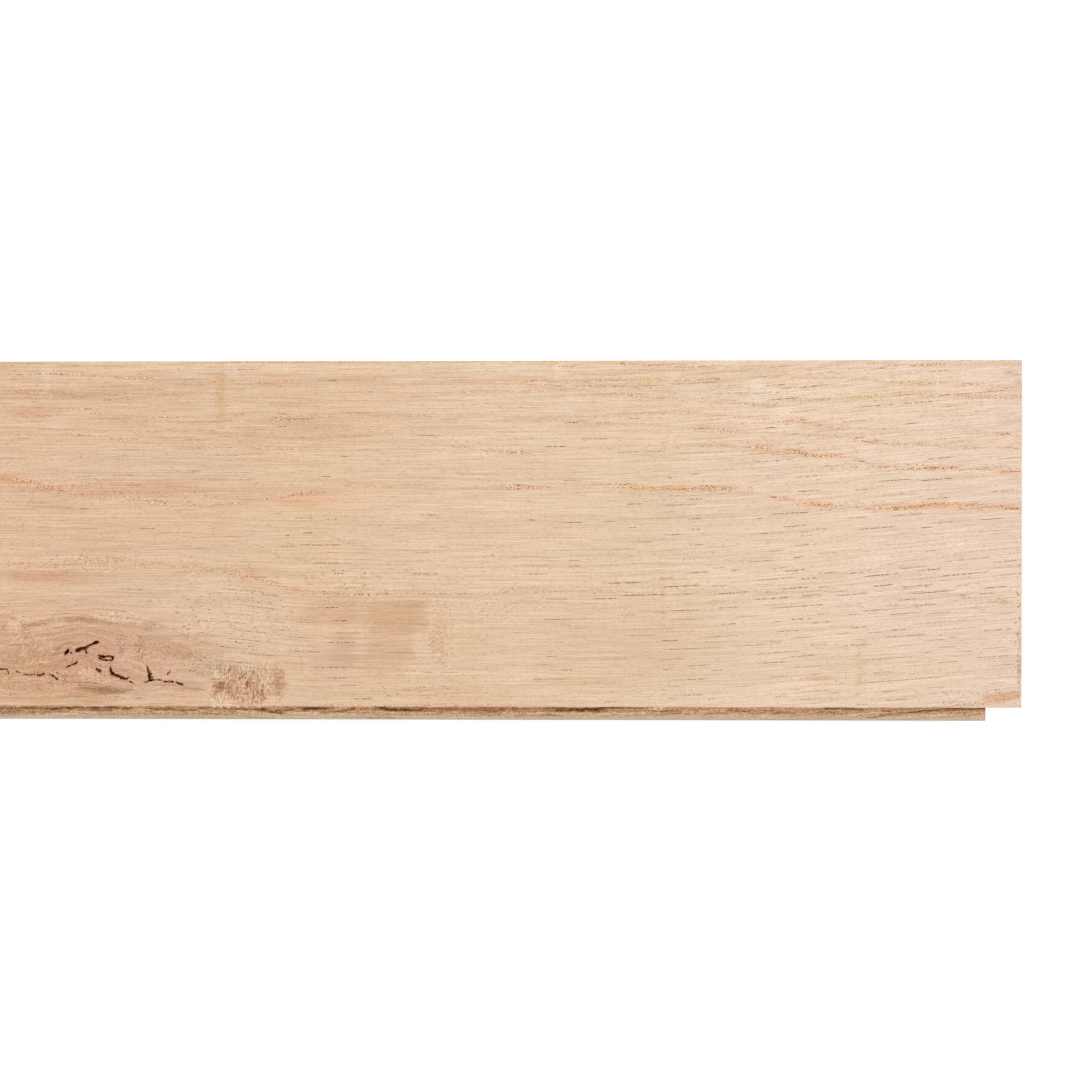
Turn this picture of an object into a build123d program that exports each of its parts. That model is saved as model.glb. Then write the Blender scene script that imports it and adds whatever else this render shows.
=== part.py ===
"""Solid red oak floorboard: one plank, with a tongue and a groove on its long sides and on its ends.

X runs along the grain, Y across the width and Z up, towards the walking face. The tongue of the
long side is at -Y and that of the end is at -X, so the grooves are at +Y and +X. The origin is at
the middle of the overall length and width, on the plane that the back rests on.
"""

import os

from build123d import *

# The face that is walked on, in millimetres
face_length = 762.0
face_width = 127.0

# The layers of the board, from the face down. They add up to its thickness, 19.05 mm.
wear_layer = 7.9
tongue_thickness = 6.2
wood_below_tongue = 4.95

# How far the tongues stand out past the face, and how round their noses are
side_tongue_projection = 5.3
end_tongue_projection = 11.9
tongue_nose_radius = 1.1

# How much larger a groove is than the tongue that it takes, in its height and in its depth
groove_play = 0.3
side_groove_clearance = 0.9
end_groove_clearance = 0.8
groove_mouth_chamfer = 0.4

# The walls below the joint stand back from those above it, so that boards close tight at the face.
lower_wall_setback = 0.5

# Shallow hollows run along the back, each an arc in section. As many fit as keep the margin, which
# is the least distance from the back's edge to the middle of a hollow.
hollow_width = 12.0
hollow_depth = 2.2
hollow_pitch = 28.0
hollow_margin = 18.0

thickness = wear_layer + tongue_thickness + wood_below_tongue
overall_length = face_length + end_tongue_projection
overall_width = face_width + side_tongue_projection
side_groove_depth = side_tongue_projection + side_groove_clearance
end_groove_depth = end_tongue_projection + end_groove_clearance
groove_height = tongue_thickness + groove_play
joint_level = wood_below_tongue + tongue_thickness / 2


def draw_matched_outline(face_size, tongue_projection, groove_depth):
    """Draws the board's outline across a joint, with the tongue at the left, groove at the right."""
    tongue_tip = -(face_size + tongue_projection) / 2
    tongue_wall = tongue_tip + tongue_projection
    groove_wall = -tongue_tip
    with Locations((tongue_wall, joint_level)):
        Rectangle(face_size, thickness - joint_level, align=Align.MIN)
    lower_size = face_size - 2 * lower_wall_setback
    with Locations((tongue_wall + lower_wall_setback, 0)):
        Rectangle(lower_size, joint_level, align=Align.MIN)
    tongue_reach = tongue_projection + 2 * lower_wall_setback
    with Locations((tongue_tip, joint_level)):
        Rectangle(tongue_reach, tongue_thickness, align=(Align.MIN, Align.CENTER))
    with Locations((groove_wall, joint_level)):
        Rectangle(groove_depth, groove_height, align=(Align.MAX, Align.CENTER), mode=Mode.SUBTRACT)
    nose = vertices().sort_by(Axis.X)[:2]
    fillet(nose, tongue_nose_radius)
    groove_side = vertices().sort_by(Axis.X)[-4:]
    mouth = groove_side.sort_by(Axis.Y)[1:3]
    chamfer(mouth, groove_mouth_chamfer)


def cut_back_hollows():
    """Cuts the hollows out of the back, evenly spaced about its middle."""
    scoop_radius = (hollow_width**2 / 4 + hollow_depth**2) / (2 * hollow_depth)
    back_width = face_width - 2 * lower_wall_setback
    back_middle = side_tongue_projection / 2
    hollow_count = 1 + int((back_width - 2 * hollow_margin) // hollow_pitch)
    with Locations((back_middle, hollow_depth - scoop_radius)):
        with GridLocations(hollow_pitch, 0, hollow_count, 1):
            Circle(scoop_radius, mode=Mode.SUBTRACT)


with BuildPart() as floorboard:
    with BuildSketch(Plane.YZ):
        draw_matched_outline(face_width, side_tongue_projection, side_groove_depth)
        cut_back_hollows()
    extrude(amount=overall_length / 2, both=True)
    with BuildSketch(Plane.XZ):
        draw_matched_outline(face_length, end_tongue_projection, end_groove_depth)
    extrude(amount=overall_width / 2, both=True, mode=Mode.INTERSECT)

floorboard.part.label = "floorboard"

os.makedirs("parts", exist_ok=True)
export_step(floorboard.part, "parts/floorboard.step")
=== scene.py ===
"""Looks of a solid red oak floorboard: planed, unfinished, with a knot and torn grain near one edge.

The board is one mesh. Each vertex knows its place in the tree, along the fibres, around the pith and
out from it, so that every side of the board shows the same rings, fibres and rays. The face is then
marked where the photo shows it: rings, rays, stains, the knot's cracks and the torn grain.
"""

import math
import random

import bmesh
import bpy
from mathutils import Euler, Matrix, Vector, noise


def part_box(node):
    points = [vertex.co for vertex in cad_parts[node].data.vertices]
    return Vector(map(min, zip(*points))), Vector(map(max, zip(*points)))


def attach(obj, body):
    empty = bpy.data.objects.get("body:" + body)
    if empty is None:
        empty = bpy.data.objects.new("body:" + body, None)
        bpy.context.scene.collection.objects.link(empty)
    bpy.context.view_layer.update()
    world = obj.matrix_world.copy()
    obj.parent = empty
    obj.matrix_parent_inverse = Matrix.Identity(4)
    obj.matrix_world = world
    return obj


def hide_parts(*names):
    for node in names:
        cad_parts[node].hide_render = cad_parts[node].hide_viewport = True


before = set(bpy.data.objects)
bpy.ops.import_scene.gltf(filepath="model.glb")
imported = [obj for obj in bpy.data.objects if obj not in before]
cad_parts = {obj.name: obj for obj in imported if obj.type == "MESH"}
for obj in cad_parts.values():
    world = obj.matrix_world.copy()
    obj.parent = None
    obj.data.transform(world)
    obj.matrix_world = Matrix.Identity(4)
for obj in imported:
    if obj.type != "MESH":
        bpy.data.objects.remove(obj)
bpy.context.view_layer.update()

MM = 0.001
board_low, board_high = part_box("floorboard")

# The joint, in millimetres: the layers from the face down, then the tongues and grooves
WEAR_LAYER = 7.9
WOOD_BELOW_TONGUE = 4.95
SIDE_TONGUE = 5.3
END_TONGUE = 11.9
NOSE_RADIUS = 1.1
NOSE_SEGMENTS = 5
GROOVE_PLAY = 0.3
SIDE_GROOVE = SIDE_TONGUE + 0.9
END_GROOVE = END_TONGUE + 0.8
MOUTH_CHAMFER = 0.4
WALL_SETBACK = 0.5

# Hollows of the back, in millimetres
HOLLOW_WIDTH = 12.0
HOLLOW_DEPTH = 2.2
HOLLOW_PITCH = 28.0
HOLLOW_COUNT = 4
HOLLOW_SEGMENTS = 10

# Levels and walls of the board, in millimetres, from the frame
LEFT = board_low.x / MM
RIGHT = board_high.x / MM
FRONT = board_low.y / MM
BACK = board_high.y / MM
FACE_LEVEL = board_high.z / MM
TONGUE_TOP = FACE_LEVEL - WEAR_LAYER
TONGUE_BOTTOM = WOOD_BELOW_TONGUE
GROOVE_TOP = TONGUE_TOP + GROOVE_PLAY / 2
GROOVE_BOTTOM = TONGUE_BOTTOM - GROOVE_PLAY / 2
FACE_FRONT = FRONT + SIDE_TONGUE
FACE_LEFT = LEFT + END_TONGUE
GROOVE_FLOOR = BACK - SIDE_GROOVE
END_GROOVE_FLOOR = RIGHT - END_GROOVE

# The camera looks down on the grooved end, with the slight tilt that the photo has. Pixels here and
# below are those of the photo, counted from its upper left corner.
IMAGE_SIZE = 1080
IMAGE_MIDDLE = IMAGE_SIZE / 2
CAMERA_PLACE = Vector((0.2841, 0.0473, 1.6))
CAMERA_TURN = Euler([math.radians(angle) for angle in (-1.698, 2.639, -0.062)])
CAMERA_LENS = 144.14
SENSOR_WIDTH = 36.0

# How far left of the photo, in pixels, the board still has its fine mesh
MARGIN_PIXELS = 20

# The pith of the tree, in millimetres: far below the board, so the board is flat sawn
PITH_PIXEL_Y = 650
PITH_BELOW_FACE = 250.0

# Growth rings, in millimetres: how wide those inside and outside the drawn ones are, how far past a
# ring's start its porous earlywood stays full and where it ends, how far from its start a ring still
# shows, and the most that a slanting cut widens it. Rings inside the drawn ones share one strength.
INNER_RING_WIDTH = 4.2
OUTER_RING_WIDTH = 2.6
INNER_RING_STRENGTH = 0.45
EARLYWOOD_FULL = 0.33
EARLYWOOD_WIDTH = 0.88
RING_REACH = 4.0
GREATEST_SPREAD = 12.0

# Growth rings as they cross the face, from the grooved side to the tongue side. Each point is a
# place in the photo, in pixels, and how strong the orange earlywood is there. Points left of zero
# are on the part of the board that the photo cuts off.
RING_LINES = (
    ((-1060, 352, 0), (-700, 356, 0.3), (-300, 348, 0), (0, 345, 0), (200, 358, 0.2), (270, 362, 0.5),
     (298, 362.5, 0.5), (450, 359, 0.2), (585, 363, 0.6), (640, 365, 0.6), (690, 368, 0.5),
     (760, 365, 0.2), (840, 362, 0.2), (907, 365, 0.5), (943, 365, 0.5), (1021, 362, 0.2)),
    ((-1060, 372, 0.3), (-700, 377, 0.5), (-300, 370, 0.5), (0, 373, 0.7), (60, 374, 0.6),
     (100, 377, 0.4), (143, 379, 0.4), (200, 382.5, 0.3), (278, 382, 0.3), (340, 384, 0.1),
     (448, 382, 0.4), (540, 381, 0.4), (629, 380, 0.4), (672, 382, 0.4), (752, 377, 0.5),
     (800, 377, 0.6), (862, 379, 0.4), (890, 383, 0.5), (936, 384, 0.5), (1021, 386, 0.4)),
    ((-1060, 395, 0.2), (-700, 398, 0.4), (-300, 390, 0.4), (0, 392, 0.2), (43, 393, 0.4),
     (104, 398, 0.4), (200, 402, 0.1), (300, 401, 0.1), (420, 396, 0.1), (551, 389, 0.5),
     (597, 393, 0.4), (665, 398, 0.4), (706, 401, 0.5), (760, 404, 0.5), (800, 401, 0.3),
     (880, 397, 0.6), (957, 397, 0.5), (1021, 398, 0.5)),
    ((-1060, 415, 0.3), (-700, 412, 0.5), (-300, 405, 0.3), (0, 408, 0.2), (68, 410, 0.3),
     (110, 413.5, 0.8), (129, 414.5, 0.6), (203, 420.5, 0.3), (257, 420.5, 0.5), (300, 417, 0.3),
     (375, 416, 0.3), (445, 418, 0.4), (522, 420, 0.2), (590, 416, 0.2), (668, 413, 0.3),
     (784, 420, 0.5), (808, 422, 0.7), (823, 425, 0.7), (868, 428, 0.4), (945, 431, 0.4),
     (1021, 436, 0.3)),
    ((-1060, 432, 0.2), (-700, 426, 0.4), (-300, 420, 0.2), (0, 421, 0), (110, 425, 0), (240, 433, 0),
     (350, 430, 0.2), (445, 430, 0.1), (565, 425, 0.2), (610, 424, 0.2), (700, 428.5, 0.3),
     (726, 432, 0.4), (765, 432, 0.5), (840, 437, 0.4), (872, 441, 0.7), (910, 443.5, 0.5),
     (988, 447.5, 0.5), (1021, 450, 0.4)),
    ((-1060, 455, 0.3), (-700, 446, 0.5), (-300, 436, 0.4), (0, 432, 0.1), (64, 434, 0.3),
     (100, 437, 0.5), (160, 444, 0.3), (230, 448, 0.4), (277, 449, 0.4), (340, 443, 0.4),
     (420, 441, 0.1), (480, 450, 0.5), (548, 451, 0.5), (620, 447, 0.1), (690, 445.5, 0.4),
     (740, 447, 0.6), (770, 448, 1), (800, 453, 0.8), (820, 456, 0.8), (852, 458, 0.6),
     (880, 466, 0.6), (925, 468.5, 0.9), (954, 468.5, 0.8), (1000, 471, 0.6), (1021, 472, 0.7)),
    ((-1060, 505, 0.4), (-850, 492, 0.7), (-600, 478, 0.4), (-300, 488, 0.7), (-100, 474, 0.8),
     (0, 478, 1), (18, 481, 0.9), (57, 488, 0.6), (84, 494, 0.4), (140, 500, 0.4), (185, 505, 0.5),
     (232, 504, 0.5), (264, 499, 0.6), (300, 494, 0.8), (341, 489, 0.5), (400, 486, 0.3),
     (491, 486, 0.4), (520, 487, 0.7), (548, 488, 0.5), (600, 486, 0.3), (640, 486.5, 0.9),
     (675, 489, 1), (718, 487.5, 0.7), (744, 491, 0.6), (768, 494.5, 0.7), (790, 500, 0.8),
     (815, 505, 1), (850, 506, 0.6), (879, 506, 0.8), (916, 507, 1), (940, 504, 1), (965, 504, 0.4),
     (984, 505, 0.9), (1021, 509, 1)),
    ((-1060, 585, 0.5), (-850, 572, 0.6), (-600, 590, 0.4), (-300, 575, 0.6), (-100, 568, 0.5),
     (0, 566, 0.6), (60, 565, 0.5), (110, 560, 0.3), (150, 563, 0.6), (200, 568, 0.4), (250, 578, 0.5),
     (300, 590, 0.8), (345, 593, 0.7), (420, 594, 0.7), (500, 593, 0.5), (560, 591, 0.6),
     (600, 592, 0.5), (650, 592, 0.2), (720, 592, 0), (940, 592, 0), (985, 600, 0.6), (1021, 605, 0.7)),
)

# Rays cut across, as thin brown dashes along the fibres. Each has its middle in the photo, in
# pixels, its length there and how dark it is.
RAY_MARKS = (
    (827, 553, 18, 0.5), (854, 557.5, 11, 0.3), (899, 556, 16, 0.5), (931, 551, 16, 0.5),
    (916, 559.5, 21, 0.3), (1015, 552.5, 11, 0.5), (967, 559.5, 50, 0.35), (1005, 561.5, 23, 0.6),
    (887, 565, 14, 0.4), (914, 567.5, 27, 0.5), (930, 570, 21, 0.8), (827, 573, 16, 0.6),
    (856, 573, 14, 0.6), (881, 575, 34, 0.8), (965, 574, 45, 0.7), (1011, 574.5, 21, 0.6),
    (811, 578, 20, 0.7), (925, 578.5, 30, 0.3), (823, 587, 11, 0.6), (804, 587.5, 9, 0.6),
    (883, 585.5, 20, 0.9), (917, 586, 30, 0.6), (963, 585.5, 14, 0.6), (994, 587.5, 27, 0.8),
    (935, 592, 41, 0.8), (986, 593.5, 14, 0.7), (852, 594.5, 32, 0.7), (811, 596.5, 23, 0.4),
    (907, 599.5, 18, 0.7), (1007, 598, 21, 0.6), (877, 597, 18, 0.3), (952, 601, 18, 0.35),
    (812, 605.5, 23, 0.9), (891, 605.5, 14, 0.5), (925, 605, 21, 0.8), (979, 608, 21, 0.3),
    (823, 613.5, 14, 0.7), (872, 610.5, 18, 0.7), (852, 614.5, 9, 0.6), (904, 613.5, 29, 0.8),
    (939, 613, 25, 0.7), (1007, 613, 18, 0.5), (805, 619, 13, 0.7), (821, 622.5, 21, 0.7),
    (950, 621.5, 68, 0.5), (859, 627.5, 18, 0.8), (896, 630, 23, 0.7), (960, 628.5, 36, 0.6),
    (998, 630, 34, 0.8), (842, 634, 12, 0.5), (875, 632.5, 14, 0.6), (904, 636, 43, 0.8),
    (807, 637.5, 14, 0.7), (818, 645, 18, 0.7), (854, 645.5, 32, 0.7), (934, 640, 20, 0.7),
    (953, 637.5, 11, 0.6), (947, 647, 16, 0.6), (965, 651.5, 14, 0.5), (926, 652.5, 11, 0.6),
    (995, 648, 23, 0.4), (1005, 651, 14, 0.4), (805, 656, 20, 0.5), (891, 658, 60, 0.45),
    (916, 661.5, 11, 0.4), (996, 656.5, 40, 0.6), (948, 662, 21, 0.5), (1002, 665, 25, 0.6),
    (811, 666.5, 21, 0.5), (884, 672, 21, 0.6), (959, 672.5, 32, 0.4), (817, 674.5, 7, 0.6),
    (904, 680, 79, 0.7), (998, 683, 20, 0.5), (834, 684.5, 21, 0.4), (814, 691, 29, 0.5),
    (887, 692, 12, 0.6), (836, 692.5, 12, 0.5), (936, 687.5, 18, 0.4), (896, 700, 20, 0.7),
    (809, 699, 20, 0.6), (861, 704.5, 14, 0.6), (642, 542, 20, 0.5), (697, 545, 14, 0.5),
    (804, 545, 29, 0.6), (554, 550.5, 27, 0.35), (776, 551, 14, 0.7), (799, 557, 11, 0.7),
    (549, 558, 16, 0.4), (624, 557.5, 20, 0.3), (574, 560.5, 11, 0.5), (761, 561, 25, 0.5),
    (574, 566.5, 11, 0.5), (780, 568, 16, 0.6), (719, 568, 11, 0.5), (735, 570, 9, 0.6),
    (795, 570.5, 20, 0.8), (697, 572.5, 22, 0.8), (776, 579, 36, 0.6), (811, 578.5, 16, 0.9),
    (663, 578.5, 22, 0.6), (622, 583, 36, 0.7), (681, 586, 36, 1), (720, 586, 16, 0.7),
    (794, 588, 27, 0.95), (643, 595, 45, 0.8), (685, 594, 25, 0.7), (731, 593, 32, 0.75),
    (811, 595, 18, 0.5), (557, 599, 22, 0.7), (605, 598.5, 25, 0.9), (772, 598.5, 36, 1),
    (728, 607.5, 20, 0.8), (795, 606.5, 48, 0.8), (686, 610.5, 29, 0.9), (661, 612.5, 16, 0.5),
    (628, 615, 20, 0.7), (747, 616.5, 25, 0.5), (558, 619.5, 29, 0.6), (686, 619.5, 32, 0.6),
    (779, 621.5, 8, 0.6), (799, 619, 20, 0.8), (729, 624, 16, 0.7), (622, 621.5, 21, 0.3),
    (565, 625, 11, 0.5), (787, 631, 25, 0.9), (679, 631.5, 30, 0.4), (640, 635.5, 29, 0.6),
    (717, 636.5, 41, 0.6), (802, 637.5, 21, 0.7), (670, 640.5, 16, 0.8), (558, 642, 11, 0.5),
    (776, 642, 12, 0.5), (749, 645.5, 30, 0.5), (815, 645, 10, 0.6), (694, 648.5, 57, 0.7),
    (778, 652.5, 41, 0.5), (552, 656.5, 11, 0.7), (804, 655.5, 30, 0.6), (615, 659, 27, 0.4),
    (672, 659, 25, 0.5), (772, 662.5, 25, 0.7), (697, 665.5, 25, 0.7), (567, 670, 12, 0.8),
    (667, 669.5, 9, 0.7), (717, 670.5, 11, 0.5), (797, 667, 25, 0.6), (636, 675, 16, 0.5),
    (554, 679, 25, 0.6), (692, 679.5, 34, 0.7), (779, 676.5, 18, 0.5), (742, 686.5, 12, 0.4),
    (674, 686.5, 11, 0.5), (797, 689.5, 16, 0.6), (611, 691.5, 6, 0.7), (694, 695, 20, 0.9),
    (673, 698, 11, 0.7), (711, 699.5, 6, 0.9), (781, 696.5, 13, 0.7), (804, 699.5, 29, 0.5),
    (611, 702, 11, 0.7), (879, 368.5, 16, 0.7), (938, 371, 18, 0.6), (980, 392.5, 48, 0.9),
    (954, 394, 27, 0.6), (814, 386.5, 29, 0.6), (855, 380.5, 20, 0.5), (825, 399, 21, 0.5),
    (843, 394, 14, 0.5), (905, 403.5, 68, 0.7), (945, 406.5, 11, 0.6), (809, 410.5, 14, 0.5),
    (854, 421, 23, 0.5), (911, 423.5, 14, 0.7), (948, 438.5, 25, 0.6), (1005, 434, 9, 0.8),
    (941, 458, 27, 0.7), (1011, 458, 27, 0.6), (843, 449, 30, 0.3), (812, 476, 23, 0.4),
    (892, 480.5, 37, 0.7), (937, 479.5, 34, 0.9), (979, 476.5, 30, 0.3), (811, 491, 21, 0.6),
    (865, 489.5, 21, 0.6), (893, 494, 23, 0.6), (925, 490, 11, 0.4), (1002, 491, 25, 0.7),
    (938, 498, 21, 0.7), (804, 512.5, 9, 0.8), (857, 518, 20, 0.6), (870, 508.5, 11, 0.7),
    (907, 515, 36, 0.6), (993, 519, 23, 0.7), (945, 522.5, 29, 0.4), (877, 528, 36, 0.85),
    (926, 527.5, 13, 0.8), (820, 529, 16, 0.6), (804, 532, 9, 0.6), (998, 533.5, 18, 0.4),
    (905, 532.5, 14, 0.3), (939, 534, 11, 0.4), (566, 366.5, 18, 0.5), (779, 366.5, 18, 0.5),
    (608, 386.5, 36, 0.8), (701, 379.5, 36, 0.5), (728, 385.5, 27, 0.5), (733, 393, 36, 0.5),
    (776, 385, 21, 0.6), (783, 399, 32, 0.85), (804, 411.5, 29, 0.5), (772, 427.5, 14, 0.9),
    (633, 418.5, 12, 0.6), (571, 422.5, 14, 0.8), (602, 422.5, 18, 0.5), (702, 428.5, 18, 0.7),
    (556, 446.5, 23, 0.8), (595, 439, 27, 0.6), (629, 452, 23, 0.6), (654, 451.5, 21, 0.6),
    (692, 453, 27, 0.5), (795, 434, 10, 0.8), (783, 460, 21, 0.9), (763, 461.5, 18, 0.6),
    (778, 475.5, 27, 0.4), (808, 476.5, 21, 0.7), (572, 480.5, 18, 0.5), (806, 491, 16, 0.9),
    (672, 477.5, 9, 0.7), (695, 474, 9, 0.7), (635, 504, 16, 0.8), (694, 499, 16, 0.7),
    (680, 505, 30, 0.6), (670, 512, 11, 0.8), (726, 510.5, 18, 0.4), (790, 513, 38, 1),
    (760, 518.5, 6, 0.9), (695, 519, 14, 0.8), (572, 522.5, 20, 0.8), (611, 521.5, 11, 0.6),
    (795, 526, 22, 0.8), (633, 527.5, 8, 0.7), (696, 529.5, 10, 0.7), (678, 534.5, 20, 0.8),
    (764, 533.5, 7, 0.9), (810, 535.5, 18, 0.5), (327, 380.5, 20, 0.7), (282, 414, 11, 0.8),
    (299, 419, 29, 0.8), (282, 426.5, 9, 0.7), (345, 456.5, 9, 0.7), (325, 476.5, 11, 0.7),
    (427, 435.5, 20, 0.6), (429, 465, 23, 0.4), (431, 515, 18, 0.8), (531, 520, 10, 0.8),
    (304, 518, 18, 0.8), (332, 519.5, 10, 0.7), (308, 533, 9, 0.8), (288, 535.5, 5, 0.8),
    (336, 539, 9, 0.7), (277, 513.5, 10, 0.5), (320, 545, 41, 0.7), (288, 546.5, 14, 0.6),
    (400, 541, 18, 0.5), (332, 563, 38, 0.6), (443, 547, 11, 0.5), (425, 552.5, 20, 0.5),
    (338, 573.5, 12, 0.7), (425, 574, 25, 0.6), (538, 574, 20, 0.7), (492, 555, 4, 0.8),
    (329, 607.5, 20, 0.8), (340, 620.5, 15, 0.9), (306, 622.5, 20, 0.6), (349, 633, 30, 0.6),
    (299, 637.5, 30, 0.7), (341, 642.5, 28, 0.8), (304, 651.5, 34, 0.7), (329, 667.5, 34, 0.8),
    (336, 678, 22, 0.8), (349, 685.5, 16, 0.7), (363, 699, 20, 0.8), (541, 679, 16, 0.8),
    (440, 672.5, 34, 0.5), (438, 642.5, 14, 0.6), (147, 528.5, 18, 0.6), (43, 527, 20, 0.5),
    (89, 528.5, 18, 0.4), (84, 508.5, 10, 0.7), (806, 386.5, 54, 0.6), (884, 405, 60, 0.7),
    (222, 569.5, 14, 0.5), (256, 577, 22, 0.5), (132, 589.6, 22, 0.6), (241, 590, 34, 0.6),
    (272, 595, 16, 0.6), (146, 601.5, 14, 0.6), (205, 603, 22, 0.4), (263, 607.7, 34, 0.6),
    (232, 613.5, 40, 0.6), (230, 622, 36, 0.6), (266, 626.5, 26, 0.5), (250, 631.5, 36, 0.7),
    (213, 635.5, 26, 0.5), (252, 640.6, 50, 0.6), (238, 648, 40, 0.6), (258, 654.5, 36, 0.7),
    (233, 661.8, 40, 0.6), (262, 669, 34, 0.6), (276, 677, 14, 0.7),
    (850, 412, 40, 0.4), (700, 383, 60, 0.45), (640, 386, 50, 0.4), (580, 386, 60, 0.45),
    (760, 393.5, 44, 0.5), (820, 373, 30, 0.5), (1000, 389, 30, 0.5), (905, 374, 30, 0.4),
)

# Tone of the planed face from left to right: a place in pixels and the colour there
FACE_TONES = (
    (-1060, "#e0c0a1"), (-700, "#ddba9c"), (-300, "#e0be9f"), (0, "#debc9c"), (200, "#debd9d"),
    (330, "#e1c09f"), (480, "#e5c6a8"), (650, "#e6c9ab"), (850, "#edd1b8"), (1021, "#edd1ba"),
)

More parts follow.
